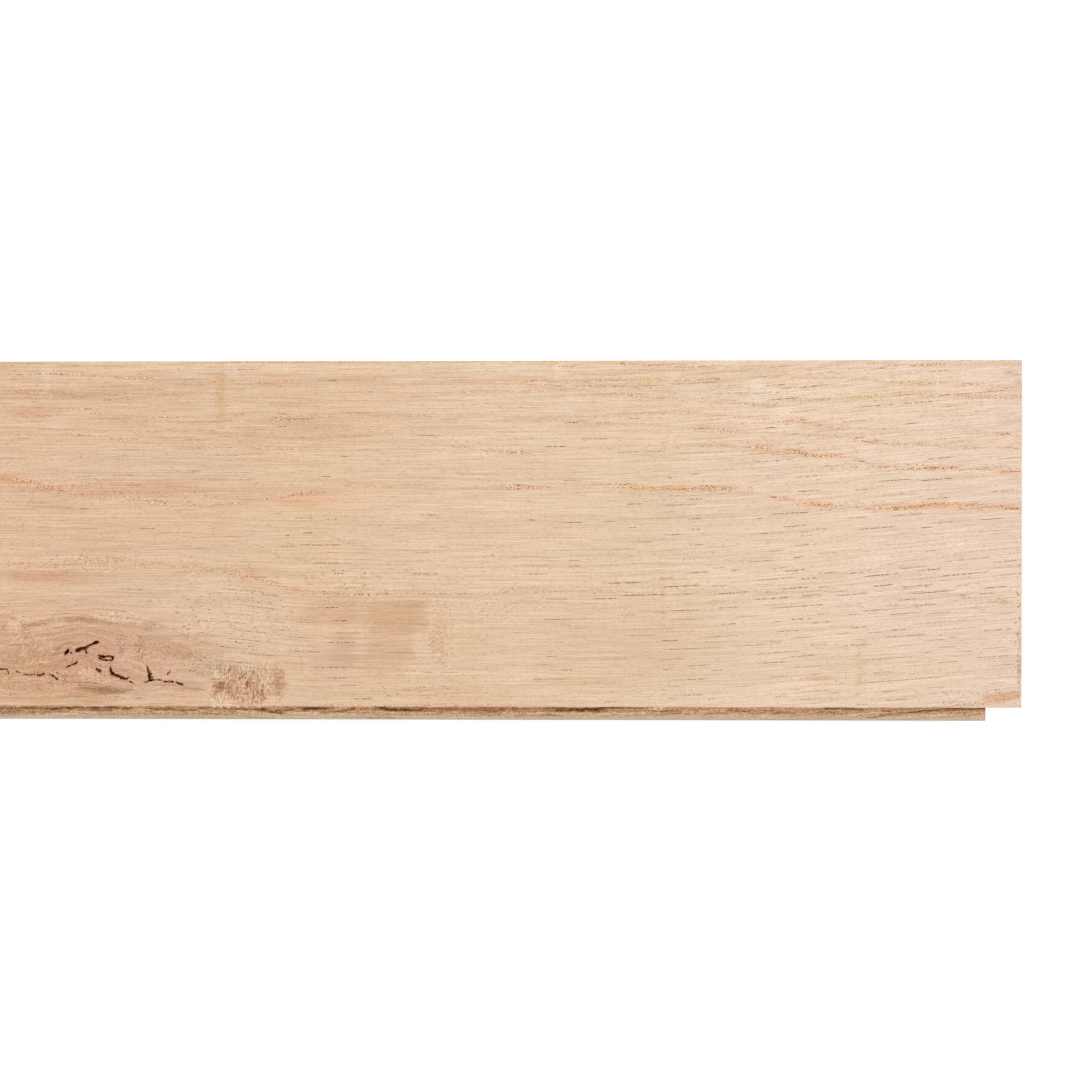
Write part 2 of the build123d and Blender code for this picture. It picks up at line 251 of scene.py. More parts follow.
# Soft stains and paler places: middle and half size in pixels, how soft the rim is, colour, strength
STAINS = (
    (60, 393, 150, 9, 0.9, "#d0a480", 0.6),
    (30, 411, 45, 8, 0.9, "#d8a784", 0.7),
    (120, 421, 70, 6, 0.9, "#cfaa84", 0.5),
    (4, 477, 26, 4, 0.9, "#dc9a72", 0.7),
    (30, 488, 50, 5, 0.9, "#d6a27d", 0.4),
    (240, 433, 55, 7, 0.9, "#d9ae89", 0.6),
    (130, 489, 160, 9, 0.9, "#d9a580", 0.6),
    (110, 525, 170, 42, 0.9, "#d9b08e", 0.3),
    (45, 576, 75, 9, 0.9, "#cf9b76", 0.8),
    (45, 506, 60, 5, 0.9, "#d2a684", 0.4),
    (246, 574, 24, 9, 0.8, "#dcac8a", 0.6),
    (20, 610, 60, 24, 0.9, "#dcb08c", 0.5),
    (0, 626, 10, 14, 0.9, "#cd9a78", 0.5),
    (95, 603, 36, 8, 0.9, "#d8aa8c", 0.4),
    (-60, 655, 90, 50, 0.9, "#d3a684", 0.8),
    (40, 690, 90, 18, 0.9, "#d9ac84", 0.8),
    (355, 381, 45, 6, 0.9, "#d3ab87", 0.6),
    (320, 430, 60, 15, 0.9, "#dab08e", 0.6),
    (310, 501, 60, 10, 0.9, "#dda983", 0.7),
    (500, 372, 60, 8, 0.9, "#e8d0b4", 0.5),
    (600, 410, 90, 14, 0.9, "#e9cbae", 0.5),
    (760, 415, 60, 25, 0.9, "#efd3bc", 0.5),
    (700, 372, 110, 9, 0.9, "#dfc19c", 0.5),
    (880, 400, 110, 22, 0.9, "#e9cfab", 0.6),
    (1009, 372.5, 7, 3.5, 0.9, "#b79a7c", 0.6),
    (1019, 382, 5, 4, 0.9, "#b39a84", 0.5),
    (1010, 470, 20, 5, 0.8, "#eebd9e", 0.5),
    (940, 507, 90, 5, 0.9, "#e4ac85", 0.75),
    (770, 450, 40, 8, 0.9, "#eabf9c", 0.65),
    (250, 367, 330, 6, 0.9, "#e8cab0", 0.7),
    (328, 662, 38, 30, 0.9, "#d8b093", 0.5),
    (345, 650, 22, 28, 0.9, "#caa587", 0.6),
    (438, 634, 14, 34, 0.9, "#d9aa7c", 0.5),
    (663, 612, 3, 56, 0.9, "#dcb692", 0.5),
    (570, 684, 76, 12, 0.9, "#dfbf98", 0.45),
    (790, 650, 38, 56, 0.9, "#ecd0b9", 0.5),
    (910, 590, 120, 56, 0.9, "#edcfba", 0.5),
    (940, 675, 80, 28, 0.9, "#e8cfb2", 0.5),
    (345, 594, 60, 7, 0.7, "#dcae86", 0.3),
    (245, 628, 60, 34, 0.9, "#e0c2a8", 0.5),
    (470, 640, 60, 50, 0.9, "#e1bd95", 0.4),
    (440, 692, 120, 14, 0.9, "#dcb88b", 0.6),
    (560, 660, 60, 40, 0.9, "#e1c19d", 0.4),
    (820, 678, 20, 4, 0.7, "#e0b384", 0.7),
    (850, 665, 60, 22, 0.9, "#e4c6a4", 0.5),
    (880, 560, 120, 50, 0.9, "#ecd0b8", 0.4),
    (85, 660, 155, 52, 0.9, "#c99878", 0.9),
    (10, 664, 80, 38, 0.9, "#c69a74", 0.6),
    (152, 655, 44, 22, 0.9, "#dbb094", 0.6),
    (88, 633, 60, 10, 0.9, "#cd9b74", 0.5),
    (78, 609, 30, 6, 0.9, "#dba98b", 0.5),
    (122, 650, 18, 28, 0.9, "#e2b8a0", 0.6),
    (168, 666, 18, 12, 0.9, "#dbab92", 0.5),
    (200, 668, 22, 14, 0.9, "#bf9c7e", 0.6),
    (182, 649, 34, 13, 0.9, "#c9a17f", 0.7),
    (149, 628, 16, 10, 0.9, "#bb967d", 0.6),
    (162, 637, 26, 12, 0.9, "#bd997b", 0.5),
    (192, 656, 20, 10, 0.9, "#bf9a7a", 0.4),
    (96, 655, 120, 40, 0.9, "#cf9f7d", 0.25),
    (192, 687, 26, 8, 0.9, "#c49d80", 0.6),
    (228, 668, 24, 6, 0.9, "#b88c6b", 0.6),
    (86, 673, 12, 6, 0.9, "#e2c49e", 0.5),
    (106, 680, 12, 5, 0.9, "#dcbb94", 0.5),
    # A dark brown band below the knot
    (110, 690, 32, 6.5, 0.9, "#9e7148", 0.85),
    (92, 699, 34, 7, 0.9, "#c0966a", 0.5),
    (142, 692, 9, 13, 0.9, "#d0a090", 0.6),
    (184, 698, 38, 8, 0.9, "#dfae84", 0.6),
    (4, 626, 8, 8, 0.9, "#c68f6a", 0.5),
    (64, 658, 6, 8, 0.8, "#c0968a", 0.5),
    (45, 668, 22, 5, 0.9, "#c48d69", 0.6),
    (22, 697, 40, 8, 0.9, "#d6ad8c", 0.5),
    (100, 662, 14, 6, 0.9, "#d9ae93", 0.5),
    (210, 662, 24, 14, 0.9, "#c7a382", 0.6),
    (248, 690, 32, 17, 0.9, "#d09a7d", 0.8),
    (250, 676, 38, 9, 0.9, "#c79c7a", 0.6),
    (219, 686, 9, 7, 0.8, "#a8703f", 0.95),
    (248, 685, 4, 5, 0.8, "#a25c48", 0.7),
    (279, 684, 9, 17, 0.9, "#b98560", 0.75),
    (222, 685, 11, 5, 0.8, "#a86f42", 0.8),
    (234, 696, 14, 8, 0.9, "#bd8765", 0.5),
    (212, 701, 12, 4, 0.9, "#e4c49e", 0.5),
    (216, 678, 16, 9, 0.9, "#c39878", 0.6),
    (262, 667, 22, 8, 0.9, "#d0a584", 0.5),
    (232, 676, 11, 6, 0.9, "#c79574", 0.5),
    (998, 698, 20, 4, 0.6, "#dfa679", 0.7),
    (1011, 694, 14, 5, 0.6, "#e0a87d", 0.7),
    # A thin pinkish strip along the right end's edge
    (1019.5, 655, 2, 60, 0.9, "#cda299", 0.5),
    (650, 381, 24, 4, 0.8, "#dcc48d", 0.45),
    (915, 384, 44, 3, 0.8, "#e0c68f", 0.4),
    (770, 448.5, 22, 3.5, 0.8, "#ecb090", 0.75),
    (640, 487, 26, 3, 0.8, "#e6b684", 0.6),
    (675, 488, 20, 4, 0.8, "#e8ac76", 0.7),
    (708, 488.5, 16, 2.5, 0.8, "#e8b486", 0.6),
    (770, 495.5, 10, 2.5, 0.8, "#eab084", 0.6),
    (786, 499.5, 14, 2.5, 0.8, "#eab084", 0.6),
    (814, 503.5, 20, 3, 0.8, "#ecb07c", 0.75),
    (890, 506, 24, 3.5, 0.8, "#e6b188", 0.6),
    (933, 503, 19, 3, 0.8, "#edb286", 0.75),
    (1003, 506.5, 20, 3.5, 0.8, "#ecae80", 0.8),
    (800, 451, 16, 3, 0.8, "#eab08a", 0.6),
    (828, 456, 18, 2.5, 0.8, "#e9af82", 0.6),
    (880, 466.5, 14, 2.5, 0.8, "#e8b48e", 0.5),
    (940, 469, 26, 2.5, 0.8, "#e8b088", 0.6),
    (1008, 471, 14, 2.5, 0.8, "#e9ae88", 0.6),
    (1010, 449, 14, 3, 0.8, "#eab792", 0.5),
    (872, 441, 15, 2.5, 0.8, "#e8b886", 0.6),
    (917, 443.5, 15, 2, 0.8, "#e7b68e", 0.5),
    (802, 422, 22, 3, 0.8, "#ebb795", 0.55),
    (784, 376, 36, 2.5, 0.8, "#e4bb8c", 0.6),
    (573, 391, 22, 3, 0.8, "#e9b786", 0.5),
    (566, 373.5, 25, 2, 0.8, "#e4bd90", 0.5),
    (677, 369, 15, 1.5, 0.8, "#e6b988", 0.5),
    (320, 489.5, 30, 3, 0.8, "#e2b088", 0.6),
    (18, 480.5, 24, 3, 0.8, "#dd9f76", 0.5),
    (300, 589, 16, 3, 0.8, "#dfab80", 0.4),
    (640, 640, 110, 60, 0.9, "#debd98", 0.45),
)

# Bars that the planer left across the fibres: middle and half size in pixels, colour, strength
PLANER_MARKS = (
    (47, 380, 5, 20, "#ecd3bd", 0.4),
    (221, 396, 4, 34, "#d4a87a", 0.55),
    (234, 372, 8, 8, "#ecd2ba", 0.5),
    (230, 432, 12, 10, "#e6c4a6", 0.4),
    (214, 585, 34, 12, "#e6c9a8", 0.4),
    (561, 372, 9, 10, "#eed6c1", 0.5),
    (579, 394, 14, 10, "#eed6c1", 0.5),
    (566, 412, 10, 8, "#ecd0b8", 0.4),
    (674, 378, 8, 8, "#ecd6bd", 0.5),
    (692, 396, 16, 7, "#ecd6c1", 0.5),
    (668, 408, 12, 8, "#ecd2bb", 0.4),
    (724, 364, 18, 5, "#ecd6bc", 0.5),
    (757, 392, 12, 22, "#f0dac6", 0.5),
    (785, 412, 16, 28, "#f0dac6", 0.5),
    (778, 470, 15, 26, "#f0d5c2", 0.5),
    (868, 450, 12, 20, "#f1d6c4", 0.5),
    (900, 376, 10, 14, "#ebd5bc", 0.5),
    (925, 425, 22, 12, "#f0d8c4", 0.5),
    (938, 390, 9, 22, "#efd8c4", 0.4),
    (985, 426, 16, 9, "#f1dac2", 0.5),
    (916, 480, 9, 28, "#f0d3c0", 0.5),
    (998, 484, 5, 14, "#f0d3c2", 0.5),
    (966, 688, 12, 18, "#efd2bb", 0.5),
    (984, 646, 22, 22, "#eed3bb", 0.4),
    (905, 545, 40, 26, "#efd2be", 0.4),
    (960, 575, 46, 30, "#efd2be", 0.3),
    (860, 668, 4, 32, "#dcbf90", 0.5),
    (836, 694, 22, 12, "#e2c79e", 0.4),
    (958, 385, 3, 40, "#e2c3a8", 0.4),
)

# Brown patches that the planer pressed smooth: middle and half size in pixels, colour, strength
BROWN_PATCHES = (
    (328, 613, 32, 13, "#d4a885", 0.45),
    (368, 613, 58, 13, "#d3a782", 0.5),
    (398, 617, 32, 18, "#cfa27b", 0.5),
    (390, 640, 26, 20, "#cfa27c", 0.5),
    (384, 664, 24, 14, "#d2a67e", 0.45),
)

# Lines in and around the knot: half width in pixels, colour, strength, then places in pixels
KNOT_LINES = (
    (2.2, "#ab7a50", 0.4,
     ((23, 626), (40, 623), (57, 620), (76, 619), (90, 621), (107, 623.5), (124, 624.5), (134, 623.5))),
    (1.0, "#a5734c", 0.5, ((30, 624), (52, 619), (76, 617.5), (94, 619), (112, 623))),
    (2.6, "#a8744a", 0.5, ((68, 620.5), (80, 619), (96, 621.5))),
    (1.8, "#a8774e", 0.45, ((29, 626), (46, 624.5))),
    (0.8, "#a8714e", 0.5, ((52, 615), (67, 613.6), (82, 614.4), (94, 617))),
    (1.3, "#e6c3a3", 0.35, ((28, 631), (55, 626), (85, 624), (112, 629))),
    (1.0, "#f0d6bd", 0.3, ((-6, 613), (20, 611), (60, 608), (95, 610), (125, 615), (150, 619))),
    (1.1, "#a9785c", 0.5, ((7, 615), (22, 623.5), (27, 631), (24, 642), (30, 650))),
    (0.9, "#b58a6b", 0.45, ((24, 642), (14, 655), (2, 662))),
    (0.7, "#9d7050", 0.35, ((110, 616), (128, 618), (150, 622), (172, 629), (192, 640))),
    (1.0, "#b37e5e", 0.5, ((50, 658), (58, 648), (68, 643.5), (78, 643), (84, 641))),
    (0.9, "#b78667", 0.4, ((30, 648), (44, 655), (56, 664), (70, 668))),
    (0.9, "#b58b77", 0.4, ((65, 651), (61, 658), (62, 666), (68, 671))),
    (0.9, "#e9cdb2", 0.35, ((40, 640), (60, 634), (84, 632), (106, 637))),
    (0.8, "#b98a69", 0.4, ((34, 637), (58, 630), (88, 628), (118, 634), (134, 646))),
    (0.8, "#b98a69", 0.3, ((110, 642), (122, 652), (128, 664))),
    (0.8, "#8f6140", 0.6, ((64, 682.5), (80, 682), (97, 682.8))),
    (0.8, "#caa07c", 0.5, ((50, 690), (80, 693), (120, 695))),
    (2.4, "#9a6d42", 0.6, ((80, 686), (90, 689.5), (104, 692.5), (118, 692.5), (132, 689))),
    (3.2, "#bb8560", 0.7, ((212, 695), (217, 690), (224, 685.5), (232, 681.5))),
    (2.0, "#b98560", 0.6, ((57, 649), (62, 645), (69, 643), (77, 643.5))),
    (1.6, "#bb8a68", 0.6, ((84, 655), (90, 660), (96, 665), (102, 667))),
    (1.6, "#b78562", 0.5, ((86, 650), (92, 653), (97, 656))),
    (1.0, "#bf9270", 0.35, ((150, 628), (175, 632), (200, 640), (224, 652))),
    (0.8, "#b48b67", 0.35, ((146, 637), (168, 642), (192, 650), (212, 662))),
    (0.8, "#e4c8ac", 0.3, ((156, 634), (180, 640), (204, 652))),
    (0.9, "#d2a08a", 0.5, ((116, 664), (130, 668), (142, 674))),
    (0.8, "#b07a5c", 0.5, ((60, 679), (70, 676), (80, 676))),
    (0.8, "#9a6a4c", 0.5, ((150, 684), (165, 685), (185, 688), (205, 690))),
    (0.8, "#e9cbb0", 0.6, ((0, 646), (12, 642), (20, 634))),
    (0.9, "#c08e6c", 0.5, ((-30, 640), (-12, 634), (4, 626), (12, 618))),
    (0.8, "#c08e6c", 0.5, ((-28, 690), (0, 684), (30, 682), (52, 684))),
    (0.7, "#e7c7a8", 0.5, ((-10, 678), (16, 678), (44, 679), (60, 683))),
    (0.7, "#c59a76", 0.5, ((0, 697), (40, 700), (90, 701), (140, 699))),
)

# Checks and splits of the knot: places along each and half its width there, in pixels
KNOT_CRACKS = (
    ((76.8, 651.0, 1.6), (78.4, 650.4, 1.8), (80.4, 648.8, 1.3), (83.0, 647.8, 0.9), (86.0, 646.9, 0.7),
     (89.0, 645.6, 0.7), (92.0, 644.3, 0.9), (94.6, 643.2, 1.3), (96.4, 642.4, 1.7), (97.8, 642.2, 1.1)),
    ((80.0, 650.2, 0.5), (84.0, 649.2, 0.6), (88.4, 647.4, 0.4)),
    ((83.0, 647.8, 0.6), (85.4, 650.0, 0.8), (86.6, 653.0, 0.5)),
    ((79.5, 650.2, 0.4), (83.5, 649.6, 0.5)),
    ((65.2, 654.4, 0.8), (66.6, 652.2, 1.8), (68.2, 650.0, 0.8)),
    ((70.8, 652.3, 0.3), (71.6, 654.2, 0.3)),
    ((66.5, 667.2, 0.4), (70.0, 665.5, 0.5), (73.5, 664.0, 0.6), (76.5, 662.9, 0.8), (76.9, 661.4, 0.4)),
    ((98.8, 655.3, 0.6), (101.0, 656.6, 1.3), (103.5, 657.0, 1.4), (106.0, 656.4, 0.8), (109.5, 656.2, 0.8),
     (112.8, 657.4, 1.1), (112.5, 659.6, 0.7), (110.0, 660.6, 0.6), (105.0, 660.0, 0.5),
     (100.8, 659.2, 0.8), (99.2, 657.9, 0.5)),
    ((96.5, 668.9, 0.8), (98.5, 670.2, 1.2), (100.6, 671.6, 0.8)),
    ((110.6, 667.6, 0.6), (110.8, 670.8, 1.1), (112.0, 673.6, 1.6), (114.5, 675.0, 1.2), (118.0, 676.2, 1.2),
     (121.5, 677.6, 1.3), (124.2, 678.8, 1.3), (127.0, 679.0, 0.8), (128.2, 677.3, 0.4)),
    ((129.5, 681.4, 0.5), (133.0, 683.0, 0.4)),
    ((147.0, 666.4, 0.5), (148.0, 670.0, 0.8), (149.0, 674.0, 1.0), (149.6, 678.0, 1.2), (149.8, 680.6, 1.2)),
    ((148.6, 670.0, 0.4), (151.2, 674.5, 0.5), (152.4, 678.4, 0.5), (151.0, 680.4, 0.5)),
    ((144.4, 682.4, 0.4), (147.5, 681.5, 0.6), (151.0, 680.8, 0.8), (155.0, 680.0, 0.4), (159.0, 679.8, 0.5),
     (161.4, 680.3, 0.3)),
    ((163.4, 681.0, 0.3), (167.0, 681.8, 0.5), (172.6, 681.7, 0.6)),
    ((176.5, 682.4, 0.3), (179.0, 683.4, 0.9), (182.2, 684.3, 0.7)),
    ((167.4, 674.6, 0.4), (170.0, 671.0, 0.4)),
    ((-40, 666.0, 0.4), (-30, 667.5, 0.5), (-12, 669.4, 0.5), (0, 669.2, 0.5), (7.6, 669.3, 0.5)),
    ((7.8, 670.5, 0.3), (8.4, 674.0, 0.3)),
    ((16.4, 672.0, 0.4), (19.5, 672.6, 0.5)),
    ((24.5, 674.0, 0.4), (28.6, 675.0, 0.5), (34.5, 674.8, 0.3)),
    ((37.0, 674.8, 0.5), (39.5, 675.4, 0.9), (41.6, 674.9, 0.5), (44.0, 673.5, 0.3)),
    ((48.6, 674.5, 0.3), (51.5, 675.0, 0.5), (54.5, 677.0, 0.6), (57.6, 679.6, 0.5)),
)
# How many times half its width a crack is deep, and, in millimetres, how far its rim reaches beside it
# and the most that half its width can be
CRACK_DEPTH_SHARE = 2.6
CRACK_REACH = 1.0
WIDEST_CRACK = 1.0

# Dark and pale streaks and painted root shadow of the tongue: half width in pixels, colour, strength, then
# places in pixels
TONGUE_STREAKS_AND_ROOT_SHADOW = (
    (1.6, "#a2623a", 0.35, ((46, 708.6), (76, 707.8), (114, 707.8))),
    (1.8, "#a2623a", 0.4, ((256, 709), (272, 711.2), (284, 712.6))),
    (2.0, "#9e5830", 0.45, ((298, 709.2), (316, 708.8), (332, 708.6))),
    (2.4, "#a2623a", 0.45, ((376, 708.6), (400, 709.6), (428, 709.6))),
    (2.5, "#a25e38", 0.45, ((548, 709.4), (575, 709.8), (606, 709.2))),
    (1.8, "#a2623a", 0.4, ((596, 708.2), (620, 708.2), (646, 708))),
    (1.6, "#a2623a", 0.4, ((940, 708.8), (966, 708.6), (990, 709))),
    # The darkest lines just under the face's edge are partly brown streaks and partly painted shadow of that
    # edge
    (1.0, "#7d4420", 0.7, ((-5, 708.6), (28, 708.3), (60, 709))),
    (0.9, "#613010", 0.8, ((50, 708.5), (72, 708), (76, 707.4), (112, 707.4))),
    (1.3, "#ab6844", 0.6, ((90, 710), (100, 710.6), (112, 710))),
    (0.9, "#6e3b18", 0.7, ((114, 708.3), (131, 708.7))),
    (1.0, "#804722", 0.6, ((150, 708.8), (172, 709.8), (197, 710.3))),
    (0.9, "#7d4420", 0.6, ((200, 708.2), (240, 709.4), (262, 709.2))),
    (1.2, "#4e260a", 0.8, ((262, 709), (271, 711.8), (281, 713.4))),
    (1.0, "#57290c", 0.8, ((278, 710.5), (294, 709.6))),
    (1.3, "#401508", 0.9, ((303, 709.2), (316, 708.5), (327, 708.4))),
    (1.0, "#743218", 0.7, ((320, 713.2), (338, 711.5), (354, 709))),
    (1.5, "#5e300e", 0.85, ((380, 707.8), (392, 709.6), (408, 710.3), (424, 709.8))),
    (2.0, "#a45a36", 0.7, ((432, 709.4), (448, 709), (470, 709.5), (504, 709.6))),
    (1.3, "#b0683f", 0.5, ((500, 708.4), (530, 708.8), (566, 709.2))),
    (0.7, "#8a6444", 0.6, ((468, 715.6), (502, 715.4))),
    (1.7, "#55260c", 0.9, ((556, 709.8), (572, 709.6), (588, 709.9), (602, 709))),
    (0.9, "#451c08", 0.85, ((598, 707.9), (620, 707.9), (643, 707.8))),
    (1.2, "#efdcc0", 0.8, ((654, 708.4), (660, 709.6), (665, 710.6))),
    (1.0, "#9a5b38", 0.6, ((660, 711.6), (682, 711.4))),
    (0.8, "#6e4020", 0.6, ((706, 713.6), (732, 713.4))),
    (1.7, "#a85c38", 0.6, ((728, 710), (752, 712.6), (772, 711), (792, 713))),
    (1.2, "#704420", 0.7, ((824, 709), (842, 708.5), (863, 709.3))),
    (0.8, "#703e1c", 0.8, ((867, 718), (884, 715.4), (905, 713.2), (922, 711.4), (941, 710))),
    (1.0, "#5a2e0e", 0.7, ((944, 708.6), (966, 708.2), (987, 708.8))),
    (1.2, "#b98562", 0.5, ((790, 716), (830, 713.5), (868, 712.5))),
    (1.2, "#c9a67f", 0.6, ((100, 713.5), (160, 714), (230, 714.5))),
    (1.2, "#c7a37c", 0.6, ((355, 714), (420, 714.4), (500, 712.8))),
    (1.2, "#d4b48c", 0.6, ((790, 709), (812, 709.6), (830, 711.5))),
    (1.0, "#915a34", 0.5, ((0, 711.5), (30, 711.8), (70, 711.4))),
    (0.8, "#94745a", 0.6, ((365, 717.6), (384, 717.2), (394, 717.8))),
    (0.8, "#a07c5c", 0.5, ((505, 716.2), (545, 715), (562, 715.8))),
)
# Tones of the tongue's root, middle and nose. The root is darker, partly browner wood and partly painted
# shade under the face's edge.
TONGUE_ROOT_TONE_AND_SHADE = "#f5cda3"
TONGUE_MIDDLE_TONE = "#fbd8b1"
TONGUE_NOSE_TONE = "#d6c4ad"

# The knot, the torn grain beside it and the arch of fibres over the knot: middle and half size in
# pixels. The area around them has a left and a right limit and an upper one.
KNOT_MIDDLE = (85, 662)
KNOT_REACH = (150, 52)
TORN_MIDDLE = (248, 686)
TORN_REACH = (42, 24)
ARCH_MIDDLE = (84, 642)
ARCH_REACH = (46, 36)
KNOT_AREA_LEFT = -70
KNOT_AREA_RIGHT = 290
KNOT_AREA_TOP = 595

# How far drawn lines sway along and across the board and tremble, in millimetres
STROKE_SWAY_X, STROKE_SWAY_Y = 0.5, 0.28
STROKE_TREMOR = 0.12

# How fibres leave their straight course, in millimetres: from a pixel on they bend to a steepest
# slope, and they drop beside the knot, arch over it and curl within it
BEND_PIXEL = 560
BEND_LENGTH = 90.0
STEEPEST = 0.075
DROP_PIXEL = (255, 575)
DROP_REACH_X, DROP_REACH_Y = 26, 12
DROP_HEIGHT = 3.2
ARCH_HEIGHT = 3.4
WIDE_CURL, SMALL_CURL = 2.4, 0.8

# Zones of short flecks in torn and knotty grain: middle and half size in pixels, how many, their mean
# length in pixels, their lean in degrees and how much it varies, and their strength, negative if pale
FLECK_ZONES = (
    (244, 688, 28, 16, 26, 3.4, 84, 20, 0.6),
    (222, 670, 9, 4, 14, 5.0, 80, 25, 0.8),
    (240, 677, 4, 4, 8, 4.0, 80, 15, 1.0),
    (229, 692, 5, 5, 12, 4.0, 80, 20, 0.8),
    (236, 694, 4, 7, 14, 4.0, 85, 15, 0.8),
    (259, 692, 9, 12, 26, 3.5, 80, 25, 0.7),
    (219, 688, 7, 6, 30, 3.0, 50, 25, 0.6),
    (222, 701, 13, 5, 36, 3.2, 75, 35, -0.9),
    (232, 684, 24, 18, 50, 3.4, 84, 20, -0.6),
    (266, 674, 7, 18, 50, 2.8, 85, 30, -0.8),
    (276, 684, 10, 17, 34, 3.4, 85, 26, 0.6),
    (249, 685, 5, 6, 10, 3.0, 80, 40, 0.9),
    (230, 670, 18, 5, 10, 3.4, 84, 14, 0.7),
    (230, 692, 3, 7, 14, 3.6, 80, 20, 1.0),
    (95, 675, 16, 8, 110, 2.6, -48, 45, -0.7),
    (97, 676, 16, 8, 90, 2.2, -48, 50, 0.6),
    (85, 655, 120, 44, 360, 2.4, 0, 50, -0.4),
    (85, 655, 120, 44, 420, 2.2, 0, 50, 0.4),
    (121, 644, 4, 12, 40, 3.0, 75, 25, 0.9),
    (140, 646, 5, 14, 46, 2.6, 75, 40, 0.9),
    (158, 652, 14, 10, 30, 1.8, 60, 60, 0.7),
    (64, 678, 6, 6, 14, 2.0, 40, 60, 0.9),
    (226, 677, 14, 6, 12, 4.0, 82, 14, 0.7),
    (252, 678, 10, 8, 18, 3.6, 84, 14, 0.9),
    (252, 696, 18, 7, 26, 3.4, 82, 18, 1.0),
    (230, 696, 22, 9, 30, 3.0, 80, 22, -1.0),
    (222, 672, 13, 6, 40, 4.0, 80, 20, -1.0),
    (250, 690, 24, 12, 40, 3.2, 84, 18, -0.7),
    (263, 693, 2, 7, 16, 4.0, 84, 12, 1.0),
    (258, 698, 3, 5, 10, 3.6, 80, 16, 1.0),
    (238, 674, 14, 7, 14, 4.6, 84, 12, -0.8),
    (256, 669, 9, 6, 14, 4.6, 84, 12, -0.8),
    (217, 699, 9, 5, 18, 3.4, 75, 25, 0.9),
    (250, 684, 16, 8, 20, 3.4, 84, 14, -0.7),
    (117, 615, 20, 4, 34, 2.0, 20, 50, 0.8),
    (117, 615, 22, 5, 40, 2.2, 20, 40, -0.8),
    (202, 664, 22, 12, 60, 1.8, 60, 60, 0.8),
    (204, 668, 22, 14, 50, 2.0, 20, 60, -0.6),
    (12, 616, 14, 5, 26, 2.0, 20, 50, 0.6),
    (20, 625, 12, 10, 34, 2.4, 120, 40, -0.6),
    (26, 628, 5, 12, 24, 2.0, 110, 30, 0.6),
    (34, 650, 20, 15, 60, 4.0, 50, 40, -0.5),
    (57, 673, 5, 5, 12, 1.8, 0, 60, 0.9),
    (10, 682, 6, 14, 24, 1.8, 90, 50, 0.6),
    (138, 688, 7, 12, 34, 3.0, 85, 20, 0.4),
    (100, 665, 18, 5, 24, 3.0, 10, 30, 0.5),
    (70, 655, 14, 12, 40, 2.4, 30, 60, 0.45),
    (232, 618, 62, 30, 190, 2.6, 0, 10, 0.8),
    (232, 635, 60, 34, 150, 2.2, 0, 15, -0.7),
    (70, 563, 90, 8, 150, 2.0, 0, 22, 0.6),
    (70, 564, 90, 9, 150, 2.2, 0, 20, -0.6),
    (215, 575, 30, 10, 60, 2.2, 0, 25, -0.8),
    (215, 568, 40, 8, 50, 1.8, 0, 25, 0.6),
    (60, 488, 70, 9, 150, 2.0, 0, 25, 0.55),
    (60, 486, 70, 9, 120, 2.2, 0, 20, -0.6),
    (160, 497, 70, 6, 90, 2.0, 0, 25, 0.7),
    (165, 500, 80, 7, 90, 2.4, 0, 20, -0.6),
    (442, 636, 13, 34, 130, 2.6, 0, 8, 0.55),
    (442, 638, 16, 36, 110, 2.8, 0, 8, -0.7),
    (430, 690, 60, 8, 60, 2.4, 0, 12, 0.5),
    (345, 586, 52, 17, 90, 2.4, 3, 12, 0.65),
    (345, 586, 52, 17, 80, 2.6, 3, 12, -0.6),
    (505, 601, 46, 19, 70, 2.2, 0, 12, 0.5),
    (505, 601, 46, 19, 60, 2.4, 0, 12, -0.5),
    (1001, 695, 19, 6, 60, 2.6, 12, 30, 0.6),
    (1004, 697, 18, 8, 40, 2.4, 12, 40, -0.6),
    (962, 703, 28, 2, 30, 1.8, 5, 30, 1.0),
    (955, 694, 26, 4, 30, 2.2, 5, 30, 0.6),
    (1018, 645, 3, 62, 90, 2.4, 90, 45, 0.75),
    (1017, 648, 4, 58, 80, 2.4, 90, 45, -0.7),
    (1018, 480, 2, 110, 40, 2.0, 90, 30, 0.4),
    (985, 645, 18, 26, 40, 3.0, 60, 50, -0.6),
    (968, 690, 16, 16, 40, 3.0, 85, 20, -0.6),
    (860, 672, 3, 24, 24, 2.4, 90, 30, 0.35),
    (800, 386, 200, 18, 260, 2.2, 0, 30, -0.5),
    (800, 386, 200, 20, 160, 2.0, 4, 20, 0.4),
    (620, 400, 60, 34, 90, 2.2, 0, 25, -0.5),
    (905, 410, 110, 12, 120, 2.2, 0, 40, -0.5),
    (870, 506, 80, 5, 70, 2.2, 0, 25, 0.7),
    (990, 508, 32, 5, 36, 2.2, 0, 25, 0.7),
    (700, 489, 60, 4, 40, 2.2, 0, 25, 0.5),
    (900, 467, 110, 4, 80, 2.2, 4, 20, 0.6),
    (800, 452, 60, 5, 50, 2.2, 6, 20, 0.5),
)
# Shares of a zone's mean length that half a fleck has, and shares of its strength
FLECK_HALF_LENGTH = (0.25, 0.75)
FLECK_STRENGTH = (0.4, 1.1)

# Rays at random, in millimetres: how many are tried, how far around the pith they reach, half their
# length, how clear of each other they lie, and the cells that find those nearby. They are fainter
# right of a pixel, where the rays of the photo are drawn one by one.
RANDOM_RAYS = 4200
RAYS_AROUND = (-28, 112)
RAY_HALF_LENGTH = (1.5, 6.0)
RAY_CLEAR_ALONG = 1.0
RAY_CLEAR_AROUND = 1.6
RAY_CELL_LENGTH, RAY_CELL_WIDTH = 12, 4
DRAWN_FROM_PIXEL = 270
FAINT_RAY = (0.08, 0.28)
PLAIN_RAY = (0.1, 0.45)

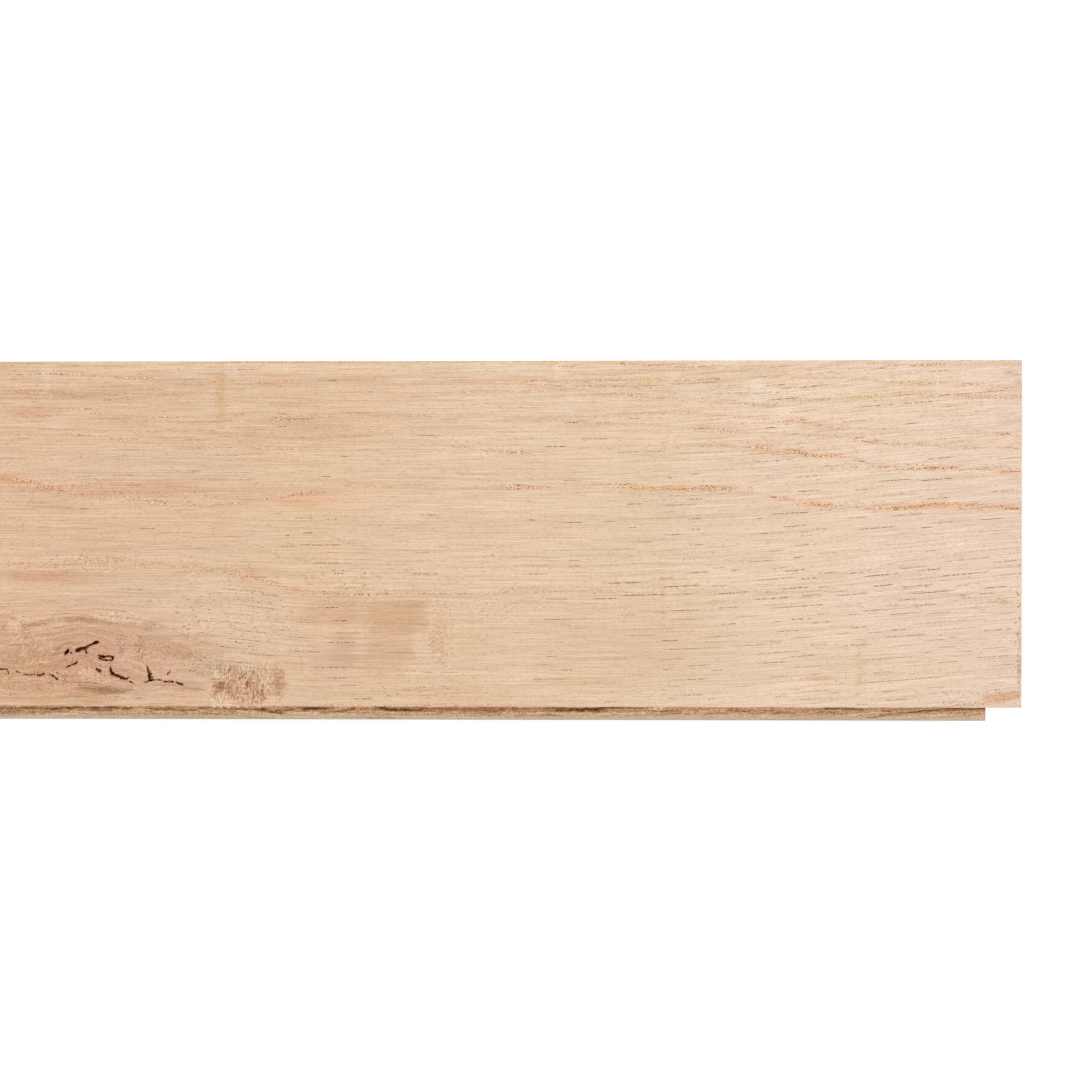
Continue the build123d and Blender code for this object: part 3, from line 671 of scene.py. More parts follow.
# Half widths of flecks and rays, how far from one its pattern reaches, and the cells that find them,
# in millimetres
FLECK_HALF_WIDTH = 0.15
RAY_HALF_WIDTH = 0.13
MARK_REACH = 1.6
MARK_CELL = 3.0

# Splinters that stand out over the tongue: middle in pixels, half width and length in millimetres.
# The edge they stand on shows at one height of the photo.
SPLINTER_PIXEL_Y = 706
SPLINTERS = (
    (71, 0.5, 0.4), (85, 0.6, 0.6), (101, 0.5, 0.5), (128, 0.6, 0.4), (163, 0.5, 0.5), (214, 0.6, 0.8),
    (221, 0.5, 1.0), (229, 0.6, 0.9), (238, 0.5, 0.7), (247, 0.6, 0.5), (259, 0.5, 0.6), (655, 0.8, 0.8),
    (661, 0.7, 1.3), (18, 0.6, 0.4), (345, 0.6, 0.4), (520, 0.6, 0.3),
)

# Wear of the face's edges, in millimetres: out of sight, over the tongue, over the groove, at the end
HIDDEN_WEAR = 0.06
TONGUE_EDGE_WEAR = 0.15
GROOVE_EDGE_WEAR = 0.10
END_EDGE_WEAR = 0.10

# How deep the torn grain lies, how high its tufts stand, and how uneven the knot is, in millimetres
TORN_DEPTH = 0.4
TUFT_HEIGHT = 0.5
KNOT_SWELL = 0.2

# The mesh, in millimetres: its grid on hidden sides, on edges, on the seen face and on the seen
# tongue, how near a fine cut may come to a coarse one, the shortest edge, how far cuts snap, and how
# close a place counts as on a plane
HIDDEN_STEP = 7.0
EDGE_STEP = 2.0
SEEN_STEP_X, SEEN_STEP_Y = 1.7, 1.2
TONGUE_STEP_X, TONGUE_STEP_Y = 0.9, 0.35
LEAST_GAP = 0.25
NARROWEST = 0.004
CUT_SNAP = 0.02
TOUCH = 0.01
SHARP_DEGREES = 35

# Where the seen face has finer cuts, in millimetres: from its front edge, from its right end, and
# from a crack for each of three rounds, and around the torn grain as shares of its half size
FINE_FROM_FRONT = 1.0
FINE_FROM_END = 1.4
FINE_FROM_CRACK = (1.5, 1.0, 0.45)
FINE_AROUND_TORN = (1.15, 1.1)

RANDOM = random.Random(11)

camera_data = bpy.data.cameras.new("overhead_camera")
camera_data.sensor_width = SENSOR_WIDTH
camera_data.lens = CAMERA_LENS
camera = bpy.data.objects.new("overhead_camera", camera_data)
camera.location = CAMERA_PLACE
camera.rotation_euler = CAMERA_TURN
bpy.context.scene.collection.objects.link(camera)
bpy.context.scene.camera = camera
bpy.context.scene.view_settings.view_transform = "Standard"


def linear(hex_colour):
    """An sRGB hex value as the linear colour that a shader takes."""
    values = [int(hex_colour[i : i + 2], 16) / 255 for i in (1, 3, 5)]
    return [v / 12.92 if v <= 0.04045 else ((v + 0.055) / 1.055) ** 2.4 for v in values] + [1.0]


def on_face(pixel_x, pixel_y, level=FACE_LEVEL):
    """The place, in millimetres, where the board's level shows at a pixel of the photo."""
    focal = CAMERA_LENS / SENSOR_WIDTH * IMAGE_SIZE
    ray = Vector(((pixel_x - IMAGE_MIDDLE) / focal, (IMAGE_MIDDLE - pixel_y) / focal, -1.0))
    ray.rotate(CAMERA_TURN)
    place = CAMERA_PLACE + ray * ((level * MM - CAMERA_PLACE.z) / ray.z)
    return place.x / MM, place.y / MM


def across_image(pixel_x):
    """The place along the board, in millimetres, of a pixel at half the photo's height."""
    return on_face(pixel_x, IMAGE_MIDDLE)[0]


PIXEL = across_image(IMAGE_MIDDLE + 1) - across_image(IMAGE_MIDDLE)
SEEN_FROM = across_image(-MARGIN_PIXELS)
PITH_Y = on_face(IMAGE_MIDDLE, PITH_PIXEL_Y)[1]
PITH_Z = FACE_LEVEL - PITH_BELOW_FACE


def held(share):
    """A share kept between 0 and 1."""
    return min(1.0, max(0.0, share))


def smooth(low, high, value):
    """Rises smoothly from 0 at low to 1 at high."""
    share = held((value - low) / (high - low))
    return share * share * (3 - 2 * share)


def rough(x, y, seed):
    """Even noise from -1 to 1 at a place, of about one unit in size. Each seed has its own pattern."""
    return noise.noise(Vector((x, y, seed)))


def through(points, x):
    """Follows a smooth curve through points of (x, values...), and gives the values at x."""
    last = len(points) - 1
    i = 0
    while i < last - 1 and points[i + 1][0] < x:
        i += 1
    before, start, end, after = (points[min(last, max(0, j))] for j in (i - 1, i, i + 1, i + 2))
    span = end[0] - start[0]
    share = held((x - start[0]) / span)
    s2, s3 = share**2, share**3
    found = []
    for k in range(1, len(start)):
        leave = (end[k] - before[k]) / (end[0] - before[0]) * span
        arrive = (after[k] - start[k]) / (after[0] - start[0]) * span
        between = (2 * s3 - 3 * s2 + 1) * start[k] + (3 * s2 - 2 * s3) * end[k]
        found.append(between + (s3 - 2 * s2 + share) * leave + (s3 - s2) * arrive)
    return found


def ring_curves():
    """For each millimetre of the length, the radii at which rings begin, from the pith out."""
    lines = []
    for line in reversed(RING_LINES):
        placed = []
        for pixel_x, pixel_y, strength in line:
            x, y = on_face(pixel_x, pixel_y)
            placed.append((x, math.hypot(y - PITH_Y, PITH_BELOW_FACE), strength))
        lines.append(placed)
    curves = {}
    for x in range(math.floor(LEFT) - 1, math.ceil(RIGHT) + 2):
        curves[x] = [through(line, x) for line in lines]
    return curves


def ring_at(curves, x, y, radius):
    """How far a place lies past the nearest ring's start, and how strong its earlywood and its line are.

    The distance is as a level face shows it: a ring that the face cuts at a slant looks wider.
    """
    lines = curves[round(x)]
    first, last = lines[0], lines[-1]
    if radius < first[0]:
        past, width = (radius - first[0]) % INNER_RING_WIDTH, INNER_RING_WIDTH
        strength = next_strength = INNER_RING_STRENGTH
    elif radius >= last[0]:
        past, width = (radius - last[0]) % OUTER_RING_WIDTH, OUTER_RING_WIDTH
        strength = next_strength = last[1]
    else:
        number = max(i for i in range(len(lines) - 1) if radius >= lines[i][0])
        start, strength = lines[number]
        end, next_strength = lines[number + 1]
        past, width = radius - start, end - start
    if past > width / 2:
        past, strength = past - width, next_strength
    spread = min(GREATEST_SPREAD, radius / max(1.0, abs(y - PITH_Y)))
    past *= spread
    beside = 1 - smooth(0.5, 0.95, abs(past) / min(RING_REACH, width * spread / 2))
    past = min(RING_REACH, max(-RING_REACH, past))
    line_strength = 0.25 + 0.6 * strength
    return past, strength * beside, line_strength * beside


def near(x, y, middle, reach):
    """0 at the middle of an ellipse, and 1 at its rim."""
    return math.hypot((x - middle[0]) / reach[0], (y - middle[1]) / reach[1])


def ellipse_of(middle, reach):
    """A middle and half sizes in pixels as places and sizes in millimetres."""
    return on_face(*middle), (reach[0] * PIXEL, reach[1] * PIXEL)


KNOT = ellipse_of(KNOT_MIDDLE, KNOT_REACH)
TORN = ellipse_of(TORN_MIDDLE, TORN_REACH)
ARCH = ellipse_of(ARCH_MIDDLE, ARCH_REACH)
BEND_START = across_image(BEND_PIXEL)
DROP_X, DROP_Y = on_face(*DROP_PIXEL)
KNOT_LEFT, KNOT_TOP = on_face(KNOT_AREA_LEFT, KNOT_AREA_TOP)
KNOT_RIGHT = on_face(KNOT_AREA_RIGHT, KNOT_AREA_TOP)[0]


def in_knot_area(x, y):
    """Whether a place lies by the knot or the torn grain."""
    return KNOT_LEFT < x < KNOT_RIGHT and y < KNOT_TOP


def fibre_rise(x, y):
    """How far the fibre through a place of the face has climbed, in millimetres, from straight."""
    turning = min(max(0.0, x - BEND_START), BEND_LENGTH)
    rise = STEEPEST * (turning**2 / (2 * BEND_LENGTH) + max(0.0, x - BEND_START - BEND_LENGTH))
    below = smooth(DROP_REACH_Y, -DROP_REACH_Y, y - DROP_Y)
    rise -= DROP_HEIGHT * below * smooth(-DROP_REACH_X, DROP_REACH_X, x - DROP_X)
    rise += ARCH_HEIGHT * math.exp(-(near(x, y, *ARCH) ** 2))
    in_knot = 1 - smooth(0.4, 1.0, near(x, y, *KNOT))
    if in_knot > 0:
        rise += in_knot * (WIDE_CURL * rough(x / 13, y / 9, 4.0) + SMALL_CURL * rough(x / 4, y / 4, 8.0))
    return rise


def around_pith(x, y, z):
    """How far around the pith a place is, in millimetres at the face's distance, along its fibre."""
    return PITH_BELOW_FACE * math.atan2(y - PITH_Y, z - PITH_Z) - fibre_rise(x, y)


class Line:
    """A line drawn on the board, in millimetres, with a half width at each of its places."""

    def __init__(self, route, half_width=0, level=FACE_LEVEL):
        places = []
        for pixel_x, pixel_y, *own_width in route:
            places.append((*on_face(pixel_x, pixel_y, level), (own_width or [half_width])[0] * PIXEL))
        self.stretches = list(zip(places, places[1:]))
        self.low = [min(place[i] for place in places) for i in (0, 1)]
        self.high = [max(place[i] for place in places) for i in (0, 1)]

    def gap(self, x, y, reach):
        """How far off the line is and half its width there, or nothing where it is out of reach."""
        if not (self.low[0] - reach < x < self.high[0] + reach):
            return None
        if not (self.low[1] - reach < y < self.high[1] + reach):
            return None
        closest = None
        for start, end in self.stretches:
            run_x, run_y = end[0] - start[0], end[1] - start[1]
            share = held(((x - start[0]) * run_x + (y - start[1]) * run_y) / (run_x**2 + run_y**2))
            off = math.hypot(x - start[0] - share * run_x, y - start[1] - share * run_y)
            if off < reach and (closest is None or off < closest[0]):
                closest = off, start[2] + (end[2] - start[2]) * share
        return closest


CRACKS = [Line(route) for route in KNOT_CRACKS]


def crack_at(x, y):
    """How far a place lies inside the reach of the nearest crack, and how deep it lies in the crack."""
    inside, deepest = 0.0, 0.0
    for line in CRACKS:
        found = line.gap(x, y, CRACK_REACH + WIDEST_CRACK)
        if found:
            off, half_width = found
            inside = max(inside, CRACK_REACH + half_width - off)
            half_width *= 1 + 0.4 * rough(x * 2.2, y * 2.2, 35.0)
            depth = CRACK_DEPTH_SHARE * half_width
            deepest = max(deepest, depth * (1 - smooth(half_width * 0.4, half_width * 1.3, off)))
    return inside, deepest


def near_crack(x, y, reach):
    """Whether a place lies within reach of a crack's middle."""
    return any(line.gap(x, y, reach) for line in CRACKS)


def as_stroke(half_width, colour, strength, route, level):
    """A drawn line with its colour as a shader takes it and its strength."""
    return Vector(linear(colour)[:3]), strength, half_width * PIXEL, Line(route, half_width, level)


def as_patch(pixel_x, pixel_y, half_x, half_y, *look):
    """A patch of colour as its middle, half size, softness where it has one, colour and strength."""
    middle, reach = ellipse_of((pixel_x, pixel_y), (half_x, half_y))
    *softness, colour, strength = look
    return middle, reach, *softness, Vector(linear(colour)[:3]), strength


FACE_STROKES = [as_stroke(*line, FACE_LEVEL) for line in KNOT_LINES]
TONGUE_STROKES_AND_ROOT_SHADOW = [as_stroke(*line, TONGUE_TOP) for line in TONGUE_STREAKS_AND_ROOT_SHADOW]
STAIN_PATCHES = [as_patch(*stain) for stain in STAINS]
PLANER_PATCHES = [as_patch(*mark) for mark in PLANER_MARKS]
PRESSED_PATCHES = [as_patch(*patch) for patch in BROWN_PATCHES]
TONES = [(across_image(pixel_x), *linear(colour)[:3]) for pixel_x, colour in FACE_TONES]
TONGUE_TONES = [
    Vector(linear(tone)[:3]) for tone in (TONGUE_ROOT_TONE_AND_SHADE, TONGUE_MIDDLE_TONE, TONGUE_NOSE_TONE)
]


def draw_strokes(colour, strokes, x, y):
    """A colour with the drawn lines over it, wavering and broken as the fibres are."""
    warped_x = x + STROKE_SWAY_X * rough(x / 2.2, y / 1.1, 41.0)
    warped_y = y + STROKE_SWAY_Y * rough(x / 2.2, y / 1.1, 42.0)
    warped_y += STROKE_TREMOR * rough(x / 0.7, y / 0.5, 43.0)
    broken = 0.9 + 0.7 * rough(x / 1.6, y / 0.9, 44.0)
    for stroke_colour, strength, widest, line in strokes:
        found = line.gap(warped_x, warped_y, widest * 2)
        if found:
            ragged = found[1] * (1 + 0.5 * rough(x * 0.9, y * 0.9, strength * 40))
            share = strength * held(broken) * (1 - smooth(0.4, 1.4, found[0] / ragged))
            colour = colour.lerp(stroke_colour, share)
    return colour


def square_gap(x, y, middle, reach):
    """0 at the middle of a rectangle, and 1 at its rim."""
    return max(abs(x - middle[0]) / reach[0], abs(y - middle[1]) / reach[1])


def face_tint(x, y):
    """The colour of the wood at a place of the face, without its fine grain."""
    colour = Vector(through(TONES, x))
    ragged = 0.30 * rough(x / 16, y / 1.9, 2.0) + 0.16 * rough(x / 4, y / 1.0, 6.0)
    for middle, reach, softness, patch_colour, strength in STAIN_PATCHES:
        if abs(x - middle[0]) < reach[0] * 1.4 and abs(y - middle[1]) < reach[1] * 1.4:
            gap = near(x, y, middle, reach) + ragged
            colour = colour.lerp(patch_colour, strength * (1 - smooth(1 - softness, 1.1, gap)))
    nibbled = 0.75 * rough(x / 4.5, y / 1.6, 7.0) + 0.3 * rough(x / 1.5, y / 0.8, 8.0)
    for middle, reach, patch_colour, strength in PLANER_PATCHES:
        gap = square_gap(x, y, middle, reach)
        if gap < 1.3:
            gap = max(gap - 0.1, gap * 0.6 + 0.45 + nibbled)
            colour = colour.lerp(patch_colour, strength * (1 - smooth(0.75, 1.05, gap)))
    for middle, reach, patch_colour, strength in PRESSED_PATCHES:
        gap = square_gap(x, y, middle, reach)
        if gap < 1.3:
            share = strength * (1 - smooth(0.75, 1.06, gap + 0.3 * nibbled)) * (0.9 + 0.3 * nibbled)
            colour = colour.lerp(patch_colour, held(share))
    return draw_strokes(colour, FACE_STROKES, x, y)


def tongue_tint(x, y):
    """The colour of the tongue's upper side, darker at its root: partly browner wood, partly painted shade.
    """
    root, middle, nose = TONGUE_TONES
    out = (FACE_FRONT - y) / SIDE_TONGUE
    colour = root.lerp(middle, smooth(0.1, 0.5, out)).lerp(nose, smooth(0.5, 0.95, out))
    return draw_strokes(colour, TONGUE_STROKES_AND_ROOT_SHADOW, x, y)


def cells_around(cell):
    """A cell of a grid and the eight beside it."""
    return [(cell[0] + i, cell[1] + j) for i in (-1, 0, 1) for j in (-1, 0, 1)]


def scatter_rays():
    """The drawn rays, then fainter ones at random where none is drawn, as (x, around, half, strength)."""
    rays = []
    for pixel_x, pixel_y, length, strength in RAY_MARKS:
        x, y = on_face(pixel_x, pixel_y)
        rays.append((x, around_pith(x, y, FACE_LEVEL), length * PIXEL / 2, strength))
    taken = {}

    def ray_cell(x, around):
        return round(x / RAY_CELL_LENGTH), round(around / RAY_CELL_WIDTH)

    def clear_of(ray, other):
        beside = abs(ray[1] - other[1]) > RAY_CLEAR_AROUND
        return beside or abs(ray[0] - other[0]) > ray[2] + other[2] + RAY_CLEAR_ALONG

    for ray in rays:
        taken.setdefault(ray_cell(*ray[:2]), []).append(ray)
    drawn_from = across_image(DRAWN_FROM_PIXEL)
    for _ in range(RANDOM_RAYS):
        x = RANDOM.uniform(LEFT, RIGHT)
        around = RANDOM.uniform(*RAYS_AROUND)
        half = RANDOM.uniform(*RAY_HALF_LENGTH)
        strength = RANDOM.uniform(*(FAINT_RAY if x > drawn_from else PLAIN_RAY))
        ray = (x, around, half, strength)
        cell = ray_cell(x, around)
        if all(clear_of(ray, other) for place in cells_around(cell) for other in taken.get(place, ())):
            rays.append(ray)
            taken.setdefault(cell, []).append(ray)
    return rays


def scatter_flecks():
    """Short straight flecks, as (x, y, direction along x, along y, half length, strength)."""
    flecks = []
    for pixel_x, pixel_y, half_x, half_y, count, length, lean, spread, strength in FLECK_ZONES:
        for _ in range(count):
            turn = RANDOM.uniform(0, 2 * math.pi)
            out = math.sqrt(RANDOM.random())
            x, y = on_face(pixel_x + half_x * out * math.cos(turn), pixel_y + half_y * out * math.sin(turn))
            lie = math.radians(RANDOM.gauss(lean, spread))
            half = length * PIXEL * RANDOM.uniform(*FLECK_HALF_LENGTH)
            own_strength = strength * RANDOM.uniform(*FLECK_STRENGTH)
            flecks.append((x, y, math.cos(lie), math.sin(lie), half, own_strength))
    return flecks


def hollow_arc(middle):
    """Places of (y, z) across a hollow of the back, from its left edge to its right."""
    radius = (HOLLOW_WIDTH**2 / 4 + HOLLOW_DEPTH**2) / (2 * HOLLOW_DEPTH)
    half_angle = math.asin(HOLLOW_WIDTH / 2 / radius)
    arc = []
    for i in range(HOLLOW_SEGMENTS + 1):
        angle = half_angle * (2 * i / HOLLOW_SEGMENTS - 1)
        arc.append((middle + radius * math.sin(angle), HOLLOW_DEPTH - radius * (1 - math.cos(angle))))
    return arc


def section_corners():
    """The board's section across its width, as places of (y, z) in millimetres, with sharp corners."""
    back_left = FACE_FRONT + WALL_SETBACK
    back_right = BACK - WALL_SETBACK
    back_middle = (back_left + back_right) / 2
    corners = [(back_left, 0.0)]
    for i in range(HOLLOW_COUNT):
        corners += hollow_arc(back_middle + HOLLOW_PITCH * (i - (HOLLOW_COUNT - 1) / 2))
    corners += [
        (back_right, 0.0),
        (back_right, GROOVE_BOTTOM),
        (GROOVE_FLOOR, GROOVE_BOTTOM),
        (GROOVE_FLOOR, GROOVE_TOP),
        (BACK, GROOVE_TOP),
        (BACK, FACE_LEVEL),
        (FACE_FRONT, FACE_LEVEL),
        (FACE_FRONT, TONGUE_TOP),
        (FRONT, TONGUE_TOP),
        (FRONT, TONGUE_BOTTOM),
        (back_left, TONGUE_BOTTOM),
    ]
    return corners


def close_to(value, target):
    """Whether two positions are the same but for rounding."""
    return abs(value - target) < TOUCH


def cut(bm, axis, positions, faces=None):
    """Cuts faces, or the whole board, along planes at positions in millimetres on an axis."""
    normal = [0.0, 0.0, 0.0]
    normal[axis] = 1.0
    faces = faces or bm.faces[:]
    geometry = list({item for face in faces for item in (*face.verts, *face.edges, face)})
    for position in positions:
        geometry = bmesh.ops.bisect_plane(
            bm, geom=geometry, dist=CUT_SNAP, plane_co=[position * n for n in normal], plane_no=normal
        )["geom"]
    bm.normal_update()


def extrude_end(bm, wall, low, high, distance):
    """Draws the part of an end wall between two levels out along X."""
    bm.normal_update()
    faces = []
    for face in bm.faces:
        middle = face.calc_center_median()
        on_wall = close_to(middle.x, wall) and abs(face.normal.x) > 0.99
        if on_wall and low < middle.z < high:
            faces.append(face)
    made = bmesh.ops.extrude_face_region(bm, geom=faces)["geom"]
    moved = [item for item in made if isinstance(item, bmesh.types.BMVert)]
    bmesh.ops.translate(bm, verts=moved, vec=(distance, 0, 0))
    bmesh.ops.delete(bm, geom=faces, context="FACES_ONLY")


def round_edges(bm, chosen, size, segments):
    """Bevels the level edges whose two ends are both chosen."""
    edges = []
    for edge in bm.edges:
        start, end = (vert.co for vert in edge.verts)
        if close_to(start.z, end.z) and chosen(start) and chosen(end):
            edges.append(edge)
    bmesh.ops.bevel(
        bm, geom=edges, offset=size, offset_type="OFFSET", segments=segments, profile=0.5,
        affect="EDGES", material=-1,
    )


def shape_board(bm):
    """Makes the board with its joints, in millimetres: the section drawn along X, then the ends."""
    start = FACE_LEFT + WALL_SETBACK
    verts = [bm.verts.new((start, y, z)) for y, z in section_corners()]
    section = bm.faces.new(verts)
    made = bmesh.ops.extrude_face_region(bm, geom=[section])["geom"]
    moved = [item for item in made if isinstance(item, bmesh.types.BMVert)]
    bmesh.ops.translate(bm, verts=moved, vec=(END_GROOVE_FLOOR - start, 0, 0))
    bmesh.ops.recalc_face_normals(bm, faces=bm.faces[:])
    cut(bm, 2, (GROOVE_BOTTOM, TONGUE_BOTTOM, TONGUE_TOP, GROOVE_TOP))
    extrude_end(bm, start, TONGUE_BOTTOM, FACE_LEVEL, -WALL_SETBACK)
    extrude_end(bm, FACE_LEFT, TONGUE_BOTTOM, TONGUE_TOP, -END_TONGUE)
    extrude_end(bm, END_GROOVE_FLOOR, GROOVE_TOP, FACE_LEVEL, END_GROOVE)
    extrude_end(bm, END_GROOVE_FLOOR, 0, GROOVE_BOTTOM, END_GROOVE - WALL_SETBACK)

    def on_nose(place):
        on_tip = close_to(place.y, FRONT) or close_to(place.x, LEFT)
        return on_tip and (close_to(place.z, TONGUE_TOP) or close_to(place.z, TONGUE_BOTTOM))

    def on_mouth(place):
        below = close_to(place.z, GROOVE_BOTTOM)
        at_side = close_to(place.y, BACK - WALL_SETBACK * below)
        at_end = close_to(place.x, RIGHT - WALL_SETBACK * below)
        return (below or close_to(place.z, GROOVE_TOP)) and (at_side or at_end)

    round_edges(bm, on_nose, NOSE_RADIUS, NOSE_SEGMENTS)
    round_edges(bm, on_mouth, MOUTH_CHAMFER, 1)
    bm.normal_update()


def steps(low, high, size):
    """Positions between two ends, evenly spaced by about a size, without the ends."""
    count = max(1, round((high - low) / size))
    return [low + (high - low) * i / count for i in range(1, count)]


def on_top(face):
    """Whether a face belongs to the board's walking face."""
    return face.normal.z > 0.9 and face.calc_center_median().z > FACE_LEVEL - TOUCH


def on_tongue(face):
    """Whether a face belongs to the side tongue's upper side."""
    middle = face.calc_center_median()
    return middle.y < FACE_FRONT and face.normal.z > 0.2


def divide(bm):
    """Cuts the board into a grid, finer where the photo shows it."""
    coarse = steps(LEFT, RIGHT, HIDDEN_STEP), steps(FACE_FRONT, BACK, HIDDEN_STEP)
    for axis, positions in enumerate(coarse):
        cut(bm, axis, positions)
    cut(bm, 2, (TONGUE_BOTTOM / 2, (TONGUE_TOP + TONGUE_BOTTOM) / 2))
    cut(bm, 2, steps(TONGUE_TOP, FACE_LEVEL, EDGE_STEP))
    for side, right_end, step_x, rows in (
        (on_top, RIGHT, SEEN_STEP_X, steps(FACE_FRONT, BACK, SEEN_STEP_Y)),
        (on_tongue, END_GROOVE_FLOOR, TONGUE_STEP_X, steps(FRONT + NOSE_RADIUS, FACE_FRONT, TONGUE_STEP_Y)),
    ):
        for axis, positions in ((0, steps(SEEN_FROM, right_end, step_x)), (1, rows)):
            seen = [face for face in bm.faces if side(face) and face.calc_center_median().x > SEEN_FROM]
            clear = [place for place in positions if all(abs(place - at) > LEAST_GAP for at in coarse[axis])]
            cut(bm, axis, clear, seen)


def refine(bm, chosen, cuts):
    """Splits the chosen faces of the walking face across both ways."""
    edges = set()
    for face in bm.faces:
        middle = face.calc_center_median()
        if on_top(face) and middle.x > SEEN_FROM and chosen(middle.x, middle.y):
            edges.update(face.edges)
    bmesh.ops.subdivide_edges(bm, edges=list(edges), cuts=cuts, use_grid_fill=True)
    bm.normal_update()


def refine_worn_places(bm):
    """Splits the face finer at its edges, knot and torn grain, and finest in the cracks."""

    def worn(x, y):
        at_edge = y < FACE_FRONT + FINE_FROM_FRONT or x > RIGHT - FINE_FROM_END
        torn = near(x, y, *TORN) < FINE_AROUND_TORN[0]
        return at_edge or near(x, y, *KNOT) < 1 or torn or near_crack(x, y, FINE_FROM_CRACK[0])

    def torn_or_cracked(x, y):
        return near(x, y, *TORN) < FINE_AROUND_TORN[1] or near_crack(x, y, FINE_FROM_CRACK[1])

    def cracked(x, y):
        return near_crack(x, y, FINE_FROM_CRACK[2])

    refine(bm, worn, 2)
    refine(bm, torn_or_cracked, 1)
    refine(bm, cracked, 1)


def splinter_reach(x):
    """How far the arris stands out over the tongue, in millimetres, or back from it if negative."""
    if x < SEEN_FROM:
        return -HIDDEN_WEAR
    reach = -TONGUE_EDGE_WEAR + 0.25 * rough(x * 0.12, 0.0, 1.0) + 0.15 * rough(x * 0.8, 0.0, 1.0)
    reach += 0.10 * rough(x * 3, 0.0, 2.0)
    for pixel_x, half_width, length in SPLINTERS:
        off = abs(x - on_face(pixel_x, SPLINTER_PIXEL_Y)[0]) / half_width
        if off < 1:
            reach = max(reach, length * (1 - off))
    return reach


def sink(x, y):
    """How far the torn and cracked face lies below its plane at a place, in millimetres."""
    deepest = crack_at(x, y)[1]
    torn = 1 - smooth(0.5, 1.1, near(x, y, *TORN) + 0.25 * rough(x / 2, y / 2, 3.0))
    knot = 1 - smooth(0.5, 1.0, near(x, y, *KNOT))
    tufts = rough(x * 1.6, y * 0.35, 3.0) + 0.5 * rough(x * 3.3, y * 0.8, 9.0)
    swell = 0.5 + 0.5 * rough(x * 0.22, y * 0.3, 5.0)
    return deepest + torn * (TORN_DEPTH - TUFT_HEIGHT * tufts) + knot * KNOT_SWELL * swell


def weather(bm):
    """Moves the face's vertices down into cracks and torn grain, and roughens its edges."""
    for vert in bm.verts:
        x, y, z = vert.co
        if z < FACE_LEVEL - TOUCH:
            continue
        if close_to(y, FACE_FRONT):
            vert.co.y -= splinter_reach(x)
        if close_to(y, BACK):
            vert.co.y -= GROOVE_EDGE_WEAR * (1 + rough(x / 24, 0.0, 7.0))
        if close_to(x, RIGHT):
            vert.co.x -= END_EDGE_WEAR * (1 + rough(y * 0.9, 0.0, 11.0) + 0.8 * rough(y / 12, 0.0, 13.0))
        if in_knot_area(x, y):
            vert.co.z -= max(0.0, sink(x, y))


def cell_of(x, y):
    """The cell of the grid of marks that a place lies in."""
    return math.floor(x / MARK_CELL), math.floor(y / MARK_CELL)


def place_marks():
    """Rays and flecks by the cells that they pass near, rays along the fibres and flecks on the face."""
    ray_cells, fleck_cells = {}, {}
    for ray in scatter_rays():
        x, around, half, _ = ray
        for i in range(cell_of(x - half, 0)[0] - 1, cell_of(x + half, 0)[0] + 2):
            for j in (-1, 0, 1):
                ray_cells.setdefault((i, cell_of(0, around)[1] + j), []).append(ray)
    for fleck in scatter_flecks():
        for cell in cells_around(cell_of(*fleck[:2])):
            fleck_cells.setdefault(cell, []).append(fleck)
    return ray_cells, fleck_cells


def on_ray(ray, x, around):
    """How far along a ray a place is, in half lengths, and how far beside it, in half widths."""
    return (x - ray[0]) / ray[2], (around - ray[1]) / RAY_HALF_WIDTH


def on_fleck(fleck, x, y):
    """How far along a fleck a place is, in half lengths, and how far beside it, in half widths."""
    off_x, off_y = x - fleck[0], y - fleck[1]
    along = off_x * fleck[2] + off_y * fleck[3]
    return along / fleck[4], (off_y * fleck[2] - off_x * fleck[3]) / FLECK_HALF_WIDTH


def nearest_mark(cells, lies, half_width, x, y, nearest):
    """The nearest mark to a place, or the one found before: its distance, itself and how it lies."""
    for mark in cells.get(cell_of(x, y), ()):
        along, across = lies(mark, x, y)
        gap = math.hypot(across * half_width, max(0.0, abs(along) - 1) * mark[-2])
        if gap < nearest[0]:
            nearest = gap, mark, lies
    return nearest


def lay_marks(bm, wood):
    """Gives each corner of a face its place on the nearest ray or fleck, and that mark's strength."""
    ray_cells, fleck_cells = place_marks()
    mark = bm.loops.layers.float_vector.new("mark")
    for face in bm.faces:
        x, around = (sum(vert[wood][i] for vert in face.verts) / len(face.verts) for i in (0, 1))
        nearest = nearest_mark(ray_cells, on_ray, RAY_HALF_WIDTH, x, around, (MARK_REACH, None, None))
        if on_top(face):
            middle = face.calc_center_median()
            nearest = nearest_mark(fleck_cells, on_fleck, FLECK_HALF_WIDTH, middle.x, middle.y, nearest)
        _, closest, lies = nearest
        if closest is None:
            continue
        for loop in face.loops:
            place = loop.vert[wood]
            y = place.y if lies is on_ray else loop.vert.co.y
            loop[mark] = (*lies(closest, place.x, y), closest[-1])


